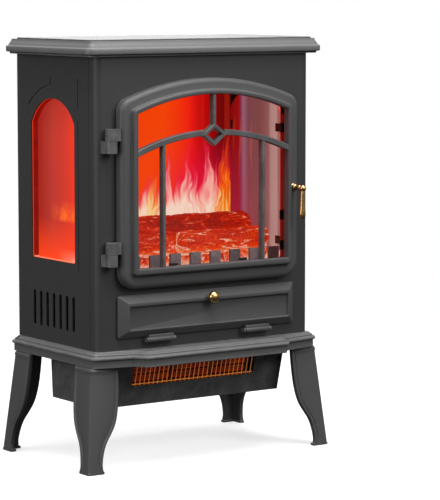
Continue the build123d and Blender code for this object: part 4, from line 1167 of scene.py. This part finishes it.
# Turned profiles are (distance along the axis, radius) pairs.
ROSE_PROFILE = ((0, 0), (0, 6), (2.0, 6), (2.9, 5.5), (3.5, 4.6), (3.5, 0))
LEVER_PROFILE = ((0, 0), (0, 4.1), (0.5, 4.6), (3.2, 4.6), (3.9, 4.1), (4.4, 3.4), (8, 3.0),
                 (12, 3.1), (13.6, 3.6), (14.2, 4.3), (14.8, 3.6))
# The handle's drop: share of its height, half width and half depth.
SHANK_STOPS = ((1.0, 2.5, 2.5), (0.9, 2.9, 2.8), (0.7, 3.3, 3.0), (0.42, 4.0, 3.3),
               (0.16, 4.8, 3.6), (0.06, 4.4, 3.2), (0.015, 3.0, 2.2), (0.0, 0.2, 0.2))
BALL_R = 4.9
BALL_NECK = 0.95


class STOVE_OT_handle(bpy.types.Operator):
    """Brass door handle: rose, turned neck, ball and flattened drop"""

    bl_idname = "stove.handle"
    bl_label = "Door handle"

    def execute(self, context):
        rose_low, rose_high = place("handle_rose")
        centre = (rose_low + rose_high) / 2
        rose = Shape().turned((centre[0], rose_high[1], centre[2]), (0, -1, 0), ROSE_PROFILE)
        fit(rose.piece("handle_rosette", "brass"), "door", "brass", "handle_rose")
        low, high = place("handle_lever")
        ball_at = high[1] - low[1] - BALL_R
        ball = [(ball_at - BALL_R * math.cos(a), BALL_R * math.sin(a))
                for a in np.linspace(BALL_NECK, math.pi, 16)]
        lever = Shape().turned((centre[0], high[1], centre[2]), (0, -1, 0), [*LEVER_PROFILE, *ball])
        y = high[1] - ball_at
        turns = np.linspace(0, 2 * math.pi, 32, endpoint=False)
        drop = centre[2] - low[2]
        lever.loft([[(centre[0] + wide * math.cos(t), y + deep * math.sin(t), low[2] + drop * share)
                     for t in turns] for share, wide, deep in smooth_through(SHANK_STOPS, 5)])
        fit(lever.piece("handle_drop", "brass"), "handle", "brass", "handle_lever")
        dress("zinc", "handle_spindle")
        return {"FINISHED"}


# ---------------------------------------------------------------- control flap and controls

KNOB_R = 8.6
KNOB_PROFILE = ((0, 0), (0, 5.0), (0.8, 5.0), (1.4, 4.2), (2.0, 3.5), (2.8, 3.5), (3.6, 5.0),
                (5.0, 7.2), (7.0, 8.4), (9.2, KNOB_R), (11.6, 7.7), (13.5, 5.6), (14.8, 2.9),
                (15.35, 0))
# Hinge barrels of the flap: radius, length and how far each is from the middle.
BARREL_R = 4.0
BARREL_LONG = 41
BARREL_X = 83


class STOVE_OT_flap(bpy.types.Operator):
    """Drop-down flap over the controls, bevelled round a sunk panel, with its brass knob"""

    bl_idname = "stove.flap"
    bl_label = "Control flap"

    def execute(self, context):
        low, high = place("control_flap")
        sill = low[2] + 8
        back = high[1]
        face = back - 11.6
        hinge_y = back - 7.5
        hinge_z = low[2] + BARREL_R

        def ring(side_in, low_in, high_in, y, radius):
            plan = rounded_plan((low[0] + side_in, sill + low_in),
                                (high[0] - side_in, high[2] - high_in), radius, 5)
            return [(x, y, z) for x, z in plan]

        rings = [ring(0.6, 0.6, 0.6, back, 2.4), ring(0, 0, 0, back - 0.6, 3),
                 ring(0, 0, 0, back - 2.4, 3), ring(0.7, 0.7, 0.7, back - 3.0, 2.6),
                 ring(11.6, 9.6, 9.6, face + 0.7, 1.6), ring(12.3, 10.4, 10.4, face + 0.15, 1.4),
                 ring(13.0, 10.9, 11.0, face, 1.2), ring(13.8, 11.3, 14.8, face, 1.6),
                 ring(14.5, 12.0, 15.6, face + 0.6, 1.4), ring(14.9, 12.4, 16.0, face + 4, 1.2)]
        shape = Shape().loft(rings)
        barrel = ((0, 0), (0, BARREL_R - 0.6), (0.6, BARREL_R), (BARREL_LONG - 0.6, BARREL_R),
                  (BARREL_LONG, BARREL_R - 0.6), (BARREL_LONG, 0))
        for side in (-1, 1):
            start = side * BARREL_X - BARREL_LONG / 2
            shape.turned((start, hinge_y, hinge_z), (1, 0, 0), barrel, 28)
            shape.bar((start, hinge_y - 2.4, hinge_z),
                      (start + BARREL_LONG, back - 0.2, sill + 3), 0.4)
        flap = shape.piece("flap_casting", "casting_paint", bevel=0.3, crease=30)
        fit(flap, "flap", "casting_paint", "control_flap")
        knob_low, knob_high = place("flap_knob")
        middle = (knob_low + knob_high) / 2
        start = (middle[0], knob_low[1] + KNOB_PROFILE[-1][0], knob_low[2] + KNOB_R)
        knob = Shape().turned(start, (0, -1, 0), KNOB_PROFILE)
        fit(knob.piece("flap_pull", "brass"), "flap", "brass", "flap_knob")
        return {"FINISHED"}


FLUTES = 20


def fluted_knob(node, body):
    """Control knob: skirt disc, fluted barrel and a raised pointer bar."""
    low, high = place(node)
    x, z = (low[0] + high[0]) / 2, (low[2] + high[2]) / 2
    radius = (high[0] - low[0]) / 2
    face = low[1] + 3.9
    turns = np.linspace(0, 2 * math.pi, FLUTES * 8, endpoint=False)

    def ring(back, size, flute):
        return [(x + size * (1 + flute * math.cos(FLUTES * t)) * math.cos(t), face + back,
                 z + size * (1 + flute * math.cos(FLUTES * t)) * math.sin(t)) for t in turns]

    grip = radius - 3.5
    shape = Shape().loft([ring(*stop) for stop in (
        (0, 0.01, 0), (0, grip - 1.6, 0), (0.3, grip - 0.8, 0.01), (1.2, grip - 0.1, 0.028),
        (3.5, grip, 0.03), (3.9, grip + 0.5, 0), (4.2, radius - 0.5, 0), (4.8, radius, 0),
        (6.6, radius, 0), (7.0, radius - 0.5, 0), (7.0, 0.01, 0))])
    shape.bar((x - 1.6, low[1], z - grip + 1), (x + 1.6, face + 1, z + grip - 0.4), 0.5)
    knob = shape.piece(f"{node}_grip", "black_plastic", crease=35)
    return fit(knob, body, "black_plastic", node)


class STOVE_OT_controls(bpy.types.Operator):
    """Switches and knobs behind the flap"""

    bl_idname = "stove.controls"
    bl_label = "Controls"

    def execute(self, context):
        fluted_knob("thermostat_knob", "thermostat")
        fluted_knob("dimmer_knob", "dimmer")
        dress("black_steel", "control_fascia")
        dress("black_plastic", "switch_bodies", "rotary_controls", "low_heat_rocker",
              "high_heat_rocker")
        dress("red_plastic", "flame_switch_rocker")
        dress("circuit_board", "control_board", "led_boards")
        return {"FINISHED"}


# ---------------------------------------------------------------- side windows and fire

class STOVE_OT_windows(bpy.types.Operator):
    """Glowing side panes in their lined recesses"""

    bl_idname = "stove.windows"
    bl_label = "Side windows"

    def execute(self, context):
        dress("left_pane", "left_window_glass")
        dress("right_pane", "right_window_glass")
        dress("window_reveal", "window_jambs")
        dress("black_steel", "window_clips")
        return {"FINISHED"}


PINK_FLAME = ((0.0, linear(240, 14, 52)), (0.25, linear(246, 44, 84)), (0.5, linear(252, 124, 128)),
              (0.75, linear(255, 184, 166)), (1.0, linear(255, 220, 200)))
ORANGE_FLAME = ((0.0, linear(226, 24, 12)), (0.35, linear(246, 64, 8)), (0.6, linear(255, 112, 16)),
                (0.85, linear(255, 160, 50)), (1.0, linear(255, 204, 120)))
BACKDROP = ((-155, linear(232, 58, 6)), (-60, linear(250, 66, 0)), (32, linear(255, 70, 2)),
            (66, linear(254, 48, 6)), (84, linear(250, 20, 14)), (112, linear(226, 6, 6)),
            (119, linear(184, 2, 2)), (134, linear(140, 0, 0)), (155, linear(128, 2, 2)))
# Flame tongues: foot, width and height, how far the tip leans, and how orange it is.
TONGUES = ((-138, 24, 92, 10, 0.3), (-112, 20, 66, -8, 0.1), (-88, 26, 108, 12, 0.0),
           (-60, 22, 74, 8, 0.2), (-36, 24, 100, -12, 0.0), (-18, 22, 74, 6, 0.5),
           (0, 28, 72, 6, 0.0), (12, 18, 98, 5, 0.9), (26, 26, 60, -4, 0.1), (44, 22, 108, 0, 0.0),
           (58, 26, 68, 6, 0.0), (72, 24, 118, 4, 0.0), (88, 24, 86, -4, 0.0),
           (100, 18, 64, 4, 0.1), (111, 22, 134, 4, 0.0), (122, 20, 92, 8, 0.1),
           (133, 16, 118, 5, 0.85), (143, 15, 130, 4, 1.0), (151, 12, 90, 2, 1.0))


def flame_colours(x, z, foot, seed):
    """Picture on the flame screen: glowing backdrop, tongues of flame and a few sparks."""
    warp = (lattice_noise(x, z, 17, 26, seed) - 0.5) * 15
    warp = warp + (lattice_noise(x, z, 6, 11, seed + 1) - 0.5) * 5
    streak = lattice_noise(x, z, 3.4, 160, seed + 2)
    colours = mapped(x + warp * 0.3, BACKDROP)
    edge = np.clip((x - 76) / 26, 0, 1)[:, None]
    rays = edge * 0.9 * (np.clip(streak - 0.62, 0, 1)**1.2)[:, None]
    colours = colours * (1 - 0.35 * edge) + rays * np.array(linear(255, 60, 20))
    haze = np.exp(-((z - foot - 40) / 44)**2) * np.clip((x - 20) / 40, 0, 1)
    haze = haze * (0.35 + 0.5 * lattice_noise(x, z, 26, 34, seed + 5))
    colours = colours * (1 - haze)[:, None] + haze[:, None] * np.array(linear(236, 12, 62))
    heat = np.zeros_like(x)
    orange = np.full_like(x, 1e-6)
    for k, (start, width, height, lean, warmth) in enumerate(TONGUES):
        t = np.clip((z - foot + 10) / height, 0, 1)
        sway = math.sin(2.3 * k) * 5
        middle = start + lean * t**1.6 + sway * np.sin(math.pi * (1.4 * t + 0.3 * k)) * t
        half = width * 0.5 * (1 - t)**0.85 * (1 + 0.34 * np.sin(6 * t + 1.7 * k)) + 0.5
        across = (x + warp * t - middle) / half
        body = np.exp(-1.1 * across**2) * (1.3 - t**1.1)
        skin = np.exp(-9 * (np.abs(across) - 0.8)**2) * (1 - t**1.6)
        mine = (0.66 * body + 0.46 * skin) * (t < 1)
        heat = np.maximum(heat, mine) + 0.22 * np.minimum(heat, mine)
        orange += warmth * mine
    total = np.full_like(x, 1e-6) + heat
    strands = lattice_noise(x + warp, z, 2.6, 24, seed + 3)
    patches = lattice_noise(x, z, 21, 17, seed + 4)
    base_glow = np.exp(-((z - foot) / 20)**2) * np.clip(1 - (x - 60) / 60, 0.2, 1)
    base_glow = base_glow * (0.35 + 0.9 * patches)
    heat = np.clip(heat * (0.5 + 0.8 * strands) + 0.4 * base_glow, 0, 1)
    share = np.clip(orange / total, 0, 1)[:, None]
    flames = mapped(heat, PINK_FLAME) * (1 - share) + mapped(heat, ORANGE_FLAME) * share
    cover = np.clip(heat * 2.1 - 0.12, 0, 1)[:, None]
    return colours * (1 - cover) + flames * cover


class STOVE_OT_flames(bpy.types.Operator):
    """Flame screen at the back of the fire chamber"""

    bl_idname = "stove.flames"
    bl_label = "Flame screen"

    def execute(self, context):
        low, high = place("flame_screen")
        columns, rows = 231, 221
        xs, zs = np.linspace(low[0], high[0], columns), np.linspace(low[2], high[2], rows)
        film = Shape()
        film.points = [(x, low[1], z) for z in zs for x in xs]
        film.faces = [(i, i + 1, i + columns + 1, i + columns)
                      for i in range((rows - 1) * columns) if (i + 1) % columns]
        rim = [*range(columns)] + [r * columns - 1 for r in range(2, rows + 1)]
        rim += [(rows - 1) * columns + c for c in reversed(range(columns - 1))]
        rim += [r * columns for r in reversed(range(1, rows - 1))]
        first = len(film.points)
        film.points += [(film.points[i][0], high[1], film.points[i][2]) for i in rim]
        count = len(rim)
        film.faces += [(rim[k], first + k, first + (k + 1) % count, rim[(k + 1) % count])
                       for k in range(count)]
        film.faces.append(tuple(range(first, first + count)))
        screen = film.piece("flame_picture", "flame_film")
        co = points_of(screen)
        foot = place("back_log")[1][2] - 8
        seed = context.scene.stove_fire.seed
        colour_points(screen, "glow", flame_colours(co[:, 0], co[:, 2], foot, seed))
        fit(screen, "stove", "screen", "flame_screen")
        dress("chamber_steel", "firebox_floor", "firebox_roof")
        dress("zinc", "flame_rotor", "rotor_motor")
        dress("black_plastic", "end_bearings")
        return {"FINISHED"}


EMBER_HEAT = ((0.0, linear(70, 6, 2)), (0.25, linear(132, 12, 2)), (0.5, linear(206, 30, 4)),
              (0.72, linear(250, 66, 10)), (0.88, linear(255, 124, 70)),
              (1.0, linear(255, 200, 176)))
# Charred skin under the glow, dark to warm.
LOG_SKIN = ((0, (0.016, 0.006, 0.004)), (1, (0.05, 0.014, 0.008)))
COAL_SKIN = ((0, (0.016, 0.006, 0.004)), (1, (0.06, 0.018, 0.01)))
CHIP_SKIN = ((0.0, (0.03, 0.012, 0.008)), (1.0, (0.08, 0.03, 0.02)))
# Each log's radius and how warm it is.
LOGS = (("back_log", 26.0, 0.36), ("left_log", 18.6, 0.46), ("right_log", 19.6, 0.5))
CHIP_R = 1.5


def log_piece(node, radius, warmth, seed):
    """Split log: furrowed bark round a bent axis, broken ends, and heat in its cracks."""
    low, high = place(node)
    length = high[0] - low[0]
    centre_y, centre_z = (low[1] + high[1]) / 2, (low[2] + high[2]) / 2
    slack_y = (high[1] - low[1]) / 2 - radius
    steps, turns = 150, 96
    rings, heats = [], []
    for k in range(steps + 1):
        t = k / steps
        end = min(t, 1 - t) * length
        taper = math.sqrt(min(1, max(end, 0.0) / 7.0 + 0.02))
        bend = slack_y * math.sin(math.pi * (t - 0.5)) * (-1)**seed
        middle = (low[0] + length * t, centre_y + bend, centre_z)
        ring = []
        for j in range(turns):
            a = 2 * math.pi * j / turns
            spot = Vector((middle[0] * 0.018 + seed * 9, math.cos(a) * 1.1, math.sin(a) * 1.1))
            furrow, flake = (
                abs(noise.noise(Vector((middle[0] * along, math.cos(a) * round_it,
                                        math.sin(a) * round_it + seed * shift))))
                for along, round_it, shift in ((0.03, 3.1, 1), (0.16, 6, 3)))
            lump = noise.noise(spot)
            bark = 0.9 + 0.13 * lump - 0.16 * (0.35 - min(furrow, 0.35)) - 0.05 * flake
            size = radius * taper * min(1, bark)
            ring.append((middle[0], middle[1] + size * math.cos(a), middle[2] + size * math.sin(a)))
            crack = max(0, 1 - furrow * 9) * max(0, noise.noise(spot * 2.3) + 0.42)
            # The underside glows brighter: painted light from the embers beneath the log.
            below = 0.35 * max(0, -math.sin(a))
            heats.append(warmth + 0.75 * crack + 0.30 * flake + below + 0.12 * lump)
        rings.append(ring)
    shape = Shape().loft(rings)
    log = shape.piece(f"{node}_bark", "log_resin", crease=70)
    tree = {tuple(np.round(p, 3)): h for p, h in zip(shape.points, heats)}
    heat = np.array([tree.get(tuple(np.round(p, 3)), 0.3) for p in points_of(log)])
    colour_points(log, "glow", mapped(np.clip(heat, 0, 1), EMBER_HEAT))
    colour_points(log, "skin", mapped(heat, LOG_SKIN))
    return fit(log, "stove", "log_resin", node)


class STOVE_OT_logs(bpy.types.Operator):
    """Three moulded logs, glowing in their cracks, behind the grate"""

    bl_idname = "stove.logs"
    bl_label = "Logs"

    def execute(self, context):
        for seed, (node, radius, warmth) in enumerate(LOGS):
            log_piece(node, radius, warmth, seed)
        dress("cast_iron", "fire_grate")
        return {"FINISHED"}


def ember_height(x, y, low, high):
    """Height of the coals over the bed, and how deep a point lies in the gaps between them."""
    near, far = noise.voronoi(Vector((x * 0.075, y * 0.075, 0.4)))[0][:2]
    gap = far - near
    small = noise.voronoi(Vector((x * 0.19, y * 0.19, 3.1)))[0]
    swell = noise.noise(Vector((x * 0.02, y * 0.03, 1.7)))
    mound = 0.52 + 0.40 * math.exp(-((y + 4) / 34)**2) + 0.14 * swell
    lump = 0.34 * min(1, gap * 1.9) + 0.08 * min(1, (small[1] - small[0]) * 2)
    rise = min(0.98, max(0.05, mound * 0.66 + lump - 0.06))
    return low[2] + (high[2] - low[2]) * rise, gap, small[1] - small[0]


class STOVE_OT_embers(bpy.types.Operator):
    """Bed of glowing coals, with loose chips scattered over it"""

    bl_idname = "stove.embers"
    bl_label = "Ember bed"

    def execute(self, context):
        low, high = place("ember_bed")
        columns, rows = 200, 72
        xs = np.linspace(low[0] + 1, high[0] - 1, columns)
        ys = np.linspace(low[1] + 1, high[1] - 1, rows)
        bed = Shape()
        heats = []
        rings = []
        for y in ys:
            ring = [(xs[0], y, low[2])]
            for x in xs:
                top, gap, crumb = ember_height(x, y, low, high)
                ring.append((x, y, top))
                glow = 0.46 + 0.5 * max(0, 1 - gap * 4) + 0.25 * max(0, 0.4 - crumb)
                glow += 0.34 * noise.noise(Vector((x * 0.035, y * 0.05, 8.2)))
                glow += 0.18 * max(0, (-60 - x) / 100) + 0.12 * max(0, (x - 40) / 120)
                front = 0.45 + 0.9 * noise.noise(Vector((x * 0.06, 2, 5)))
                glow += 0.5 * math.exp(-((y - low[1]) / 16)**2) * front
                heats.append(((x, y, top), glow))
            ring.append((xs[-1], y, low[2]))
            rings.append(ring)
        piece = bed.loft(rings).piece("ember_coals", "ember_resin", crease=60)
        known = {tuple(np.round(p, 3)): h for p, h in heats}
        heat = np.clip([known.get(tuple(np.round(p, 3)), 0.5) for p in points_of(piece)], 0, 1)
        colour_points(piece, "glow", mapped(heat, EMBER_HEAT))
        colour_points(piece, "skin", mapped(heat, COAL_SKIN))
        fit(piece, "stove", "ember_resin", "ember_bed")
        self.scatter(context.scene.stove_fire, piece)
        return {"FINISHED"}

    @staticmethod
    def scatter(fire, bed):
        """Loose chips on the upper faces of the bed."""
        chips = Pattern("loose_chips", Float="Density, Chip radius", Int="Seed")
        inlet = chips.inlet
        spots = chips.node("GeometryNodeDistributePointsOnFaces", None,
                           {"Mesh": inlet["Geometry"], "Density": inlet["Density"],
                            "Seed": inlet["Seed"]})
        upright = chips.part(chips.node("GeometryNodeInputNormal", out="Normal"), "Z")
        chosen = chips.node("FunctionNodeCompare", {"operation": "GREATER_THAN"},
                            {0: upright, 1: 0.3})
        chips.tree.links.new(chosen.socket, spots.socket.node.inputs["Selection"])
        chip = chips.node("GeometryNodeMeshIcoSphere", None,
                          {"Radius": inlet["Chip radius"], "Subdivisions": 1})
        draw = [chips.node("FunctionNodeRandomValue", {"data_type": "FLOAT_VECTOR"},
                           {0: low, 1: high, "Seed": inlet["Seed"]})
                for low, high in (((0, 0, 0), (6.3, 6.3, 6.3)),
                                  ((0.4, 0.4, 0.25), (1.7, 1.2, 0.9)))]
        laid = chips.copies(spots, chip, Rotation=draw[0], Scale=draw[1])
        heat = chips.node("FunctionNodeRandomValue", {"data_type": "FLOAT"},
                          {2: 0.0, 3: 1.0, "Seed": 3}, out=1)
        for name, stops in (("glow", EMBER_HEAT), ("skin", CHIP_SKIN)):
            laid = chips.node("GeometryNodeStoreNamedAttribute",
                              {"data_type": "FLOAT_COLOR", "domain": "INSTANCE"},
                              {"Geometry": laid, "Name": name, "Value": chips.ramp(heat, stops)})
        made = chips.grow("ember_chips", bed.data.copy(), laid, "ember_resin", crease=20,
                          Density=float(fire.chips), Chip_radius=CHIP_R * MM, Seed=fire.seed)
        fit(made, "stove", "ember_resin")


# ---------------------------------------------------------------- heater

class STOVE_OT_heater(bpy.types.Operator):
    """Parts of the fan heater below the body"""

    bl_idname = "stove.heater"
    bl_label = "Fan heater"

    def execute(self, context):
        dress("ceramic", "heating_element")
        dress("black_plastic", "fan_impeller")
        dress("zinc", "fan_motor", "fan_scroll")
        return {"FINISHED"}


WIRES = 27
WIRE_PITCH = 7.7
WIRE_R = 0.62
# How far the rails lie behind the wires, and the share of the wires' height to each of them.
RAIL_BACK = Vector((0, 1.5, 0.4))
RAIL_FIRST = 0.04
RAIL_GAP = 0.92


class STOVE_OT_grille(bpy.types.Operator):
    """Upright wires over the warm-air outlet, welded to two rails"""

    bl_idname = "stove.grille"
    bl_label = "Outlet grille"

    def execute(self, context):
        low, high = place("outlet_grille")
        foot = Vector((-WIRE_PITCH * (WIRES - 1) / 2, high[1] - 1.9, low[2] + 0.8))
        rise = Vector((0, low[1] + 0.95 - foot.y, high[2] - 0.8 - foot.z))
        rows = Pattern("wire_row", Int="Count", Float="Wire radius",
                       Vector="Foot, Rise, Step, Rail, Rail run, Rail gap")
        inlet = rows.inlet
        wires = rows.copies(rows.line(inlet["Count"], inlet["Foot"], inlet["Step"]),
                            rows.rod(inlet["Rise"], inlet["Wire radius"]))
        rails = rows.copies(rows.line(2, inlet["Rail"], inlet["Rail gap"]),
                            rows.rod(inlet["Rail run"], inlet["Wire radius"]))
        both = rows.node("GeometryNodeJoinGeometry", None, {0: wires})
        rows.tree.links.new(rails.socket, both.socket.node.inputs[0])
        rail = Vector((low[0] + 0.2, foot.y, foot.z)) + rise * RAIL_FIRST + RAIL_BACK
        made = rows.grow("grille_wires", bare_mesh("grille_seed"), both, "grille_steel",
                         Count=WIRES, Wire_radius=WIRE_R * MM, Foot=foot * MM, Rise=rise * MM,
                         Step=(WIRE_PITCH * MM, 0, 0), Rail=rail * MM,
                         Rail_run=((high[0] - low[0] - 0.4) * MM, 0, 0),
                         Rail_gap=rise * RAIL_GAP * MM)
        fit(made, "stove", "grille_wire", "outlet_grille")
        return {"FINISHED"}


# Left end of the lowest rod, and the step from each rod to the next above it.
RODS = 4
COIL_FIRST = (-99.0, -39.61, 105.78)
COIL_STEP = (0.0, -2.976, 11.626)
COIL_LONG = 198.0
COIL_TURNS = 54
COIL_R = 3.9
COIL_WIRE_R = 0.5


class STOVE_OT_coils(bpy.types.Operator):
    """Resistance wire wound round the four rods of the element"""

    bl_idname = "stove.coils"
    bl_label = "Element coils"

    def execute(self, context):
        wound = Pattern("wound_rods", Int="Rods", Vector="First, Step",
                        Float="Turns, Coil radius, Length, Wire radius")
        inlet = wound.inlet
        helix = wound.node("GeometryNodeCurveSpiral", None,
                           {"Resolution": 14, "Rotations": inlet["Turns"],
                            "Start Radius": inlet["Coil radius"],
                            "End Radius": inlet["Coil radius"], "Height": inlet["Length"]})
        rods = wound.copies(wound.line(inlet["Rods"], inlet["First"], inlet["Step"]),
                            wound.tube(helix, inlet["Wire radius"], 5),
                            Rotation=(0, math.pi / 2, 0))
        made = wound.grow("element_coils", bare_mesh("coil_seed"), rods, "hot_wire", crease=60,
                          Rods=RODS, First=[c * MM for c in COIL_FIRST],
                          Step=[c * MM for c in COIL_STEP], Turns=float(COIL_TURNS),
                          Coil_radius=COIL_R * MM, Length=COIL_LONG * MM,
                          Wire_radius=COIL_WIRE_R * MM)
        fit(made, "stove", "element")
        return {"FINISHED"}


# ---------------------------------------------------------------- stage

FLOOR_HALF = 90
# Distance, in metres, over which the floor fades to plain white paper.
FLOOR_FADE = (0.5, 1.5)
# Lamps: name, the setting of its power, place, the height that it is aimed at, and its size.
LAMPS = (("overhead", "overhead", (-0.1, -0.35, 2.2), 0.4, 1.7),
         ("front", "front", (0.8, -2.3, 1.9), 0.35, 1.4),
         ("side", "side", (-2.6, -0.3, 0.9), 0.35, 1.4),
         ("back", "side", (1.2, 2.5, 1.3), 0.35, 1.4))
CAMERA_AT = (-1.9343, -2.9007, 0.6756)
CAMERA_TURN = (83.72, 0, -34.83)
CAMERA_LENS = 173.95
CAMERA_SHIFT = 0.00325


class STOVE_OT_stage(bpy.types.Operator):
    """Studio floor, soft lights and the camera"""

    bl_idname = "stove.stage"
    bl_label = "Studio"

    def execute(self, context):
        settings = context.scene.stove_stage
        mesh = bpy.data.meshes.new("studio_floor")
        mesh.from_pydata([(x * FLOOR_HALF, y * FLOOR_HALF, 0)
                          for x, y in ((-1, -1), (1, -1), (1, 1), (-1, 1))], [], [(0, 1, 2, 3)])
        floor = bpy.data.objects.new("studio_floor", mesh)
        context.scene.collection.objects.link(floor)
        ground = Finish("studio_floor")
        far = ground.node("ShaderNodeVectorMath", {"operation": "LENGTH"}, {0: ground.point},
                          out="Value").over(*FLOOR_FADE)
        ground.set(Base_Color=ground.mix(far, settings.floor, (0, 0, 0)), Roughness=0.9,
                   Emission_Color=ground.mix(far, (0.62, 0.62, 0.62), (1, 1, 1)),
                   Emission_Strength=1.0, Specular_IOR_Level=0.0)
        mesh.materials.append(ground.material)
        floor.visible_diffuse = False
        floor.visible_glossy = False
        for name, setting, position, aim, size in LAMPS:
            self.lamp(context, name, getattr(settings, setting), position, (0, 0, aim), size)
        world = context.scene.world or bpy.data.worlds.new("studio")
        context.scene.world = world
        world.use_nodes = True
        world.node_tree.nodes.clear()
        sky = Graph(world.node_tree)
        seen = sky.node("ShaderNodeLightPath", out="Is Camera Ray")
        height = sky.part(sky.node("ShaderNodeTexCoord", out="Generated"), "Z")
        shade_below = sky.mix(height.over(-0.25, 0.35), (0.10, 0.10, 0.10), (1, 1, 1))
        room = sky.node("ShaderNodeBackground", None,
                        {"Color": shade_below, "Strength": settings.ambient})
        paper = sky.node("ShaderNodeBackground", None, {"Color": (1, 1, 1, 1), "Strength": 1.0})
        both = sky.node("ShaderNodeMixShader", None, {0: seen, 1: room, 2: paper})
        sky.node("ShaderNodeOutputWorld", None, {0: both}, out=None)
        lens = bpy.data.cameras.new("camera")
        lens.lens = CAMERA_LENS
        lens.shift_x = CAMERA_SHIFT
        camera = bpy.data.objects.new("camera", lens)
        camera.location = CAMERA_AT
        camera.rotation_euler = [math.radians(angle) for angle in CAMERA_TURN]
        context.scene.collection.objects.link(camera)
        context.scene.camera = camera
        context.scene.view_settings.view_transform = "Standard"
        return {"FINISHED"}

    @staticmethod
    def lamp(context, name, power, position, target, size):
        """Soft square light aimed at a point."""
        light = bpy.data.lights.new(name, "AREA")
        light.energy = power
        light.size = size
        lamp = bpy.data.objects.new(name, light)
        lamp.location = position
        way = Vector(target) - Vector(position)
        lamp.rotation_euler = way.to_track_quat("-Z", "Y").to_euler()
        context.scene.collection.objects.link(lamp)


# ---------------------------------------------------------------- panel and registration

OPERATORS = (STOVE_OT_casing, STOVE_OT_louvres, STOVE_OT_screws, STOVE_OT_cap, STOVE_OT_skirt,
             STOVE_OT_legs, STOVE_OT_door, STOVE_OT_lattice, STOVE_OT_handle, STOVE_OT_flap,
             STOVE_OT_controls, STOVE_OT_windows, STOVE_OT_flames, STOVE_OT_logs, STOVE_OT_embers,
             STOVE_OT_heater, STOVE_OT_grille, STOVE_OT_coils, STOVE_OT_stage)


class STOVE_PT_panel(bpy.types.Panel):
    """Settings of the stove, and one button for each of its pieces"""

    bl_idname = "STOVE_PT_panel"
    bl_label = "Stove heater"
    bl_space_type = "VIEW_3D"
    bl_region_type = "UI"
    bl_category = "Stove"

    def draw(self, context):
        scene = context.scene
        for group in (scene.stove_finishes, scene.stove_fire, scene.stove_stage):
            box = self.layout.box()
            for name in group.__annotations__:
                box.prop(group, name)
        for operator in OPERATORS:
            self.layout.operator(operator.bl_idname)


CLASSES = (StoveFinishes, StoveFire, StoveStage, *OPERATORS, STOVE_PT_panel)


def register():
    for cls in CLASSES:
        bpy.utils.register_class(cls)
    bpy.types.Scene.stove_finishes = PointerProperty(type=StoveFinishes)
    bpy.types.Scene.stove_fire = PointerProperty(type=StoveFire)
    bpy.types.Scene.stove_stage = PointerProperty(type=StoveStage)


def unregister():
    del bpy.types.Scene.stove_finishes
    del bpy.types.Scene.stove_fire
    del bpy.types.Scene.stove_stage
    for cls in reversed(CLASSES):
        bpy.utils.unregister_class(cls)


def main():
    register()
    for operator in OPERATORS:
        group, name = operator.bl_idname.split(".")
        getattr(getattr(bpy.ops, group), name)()


if __name__ == "__main__":
    main()
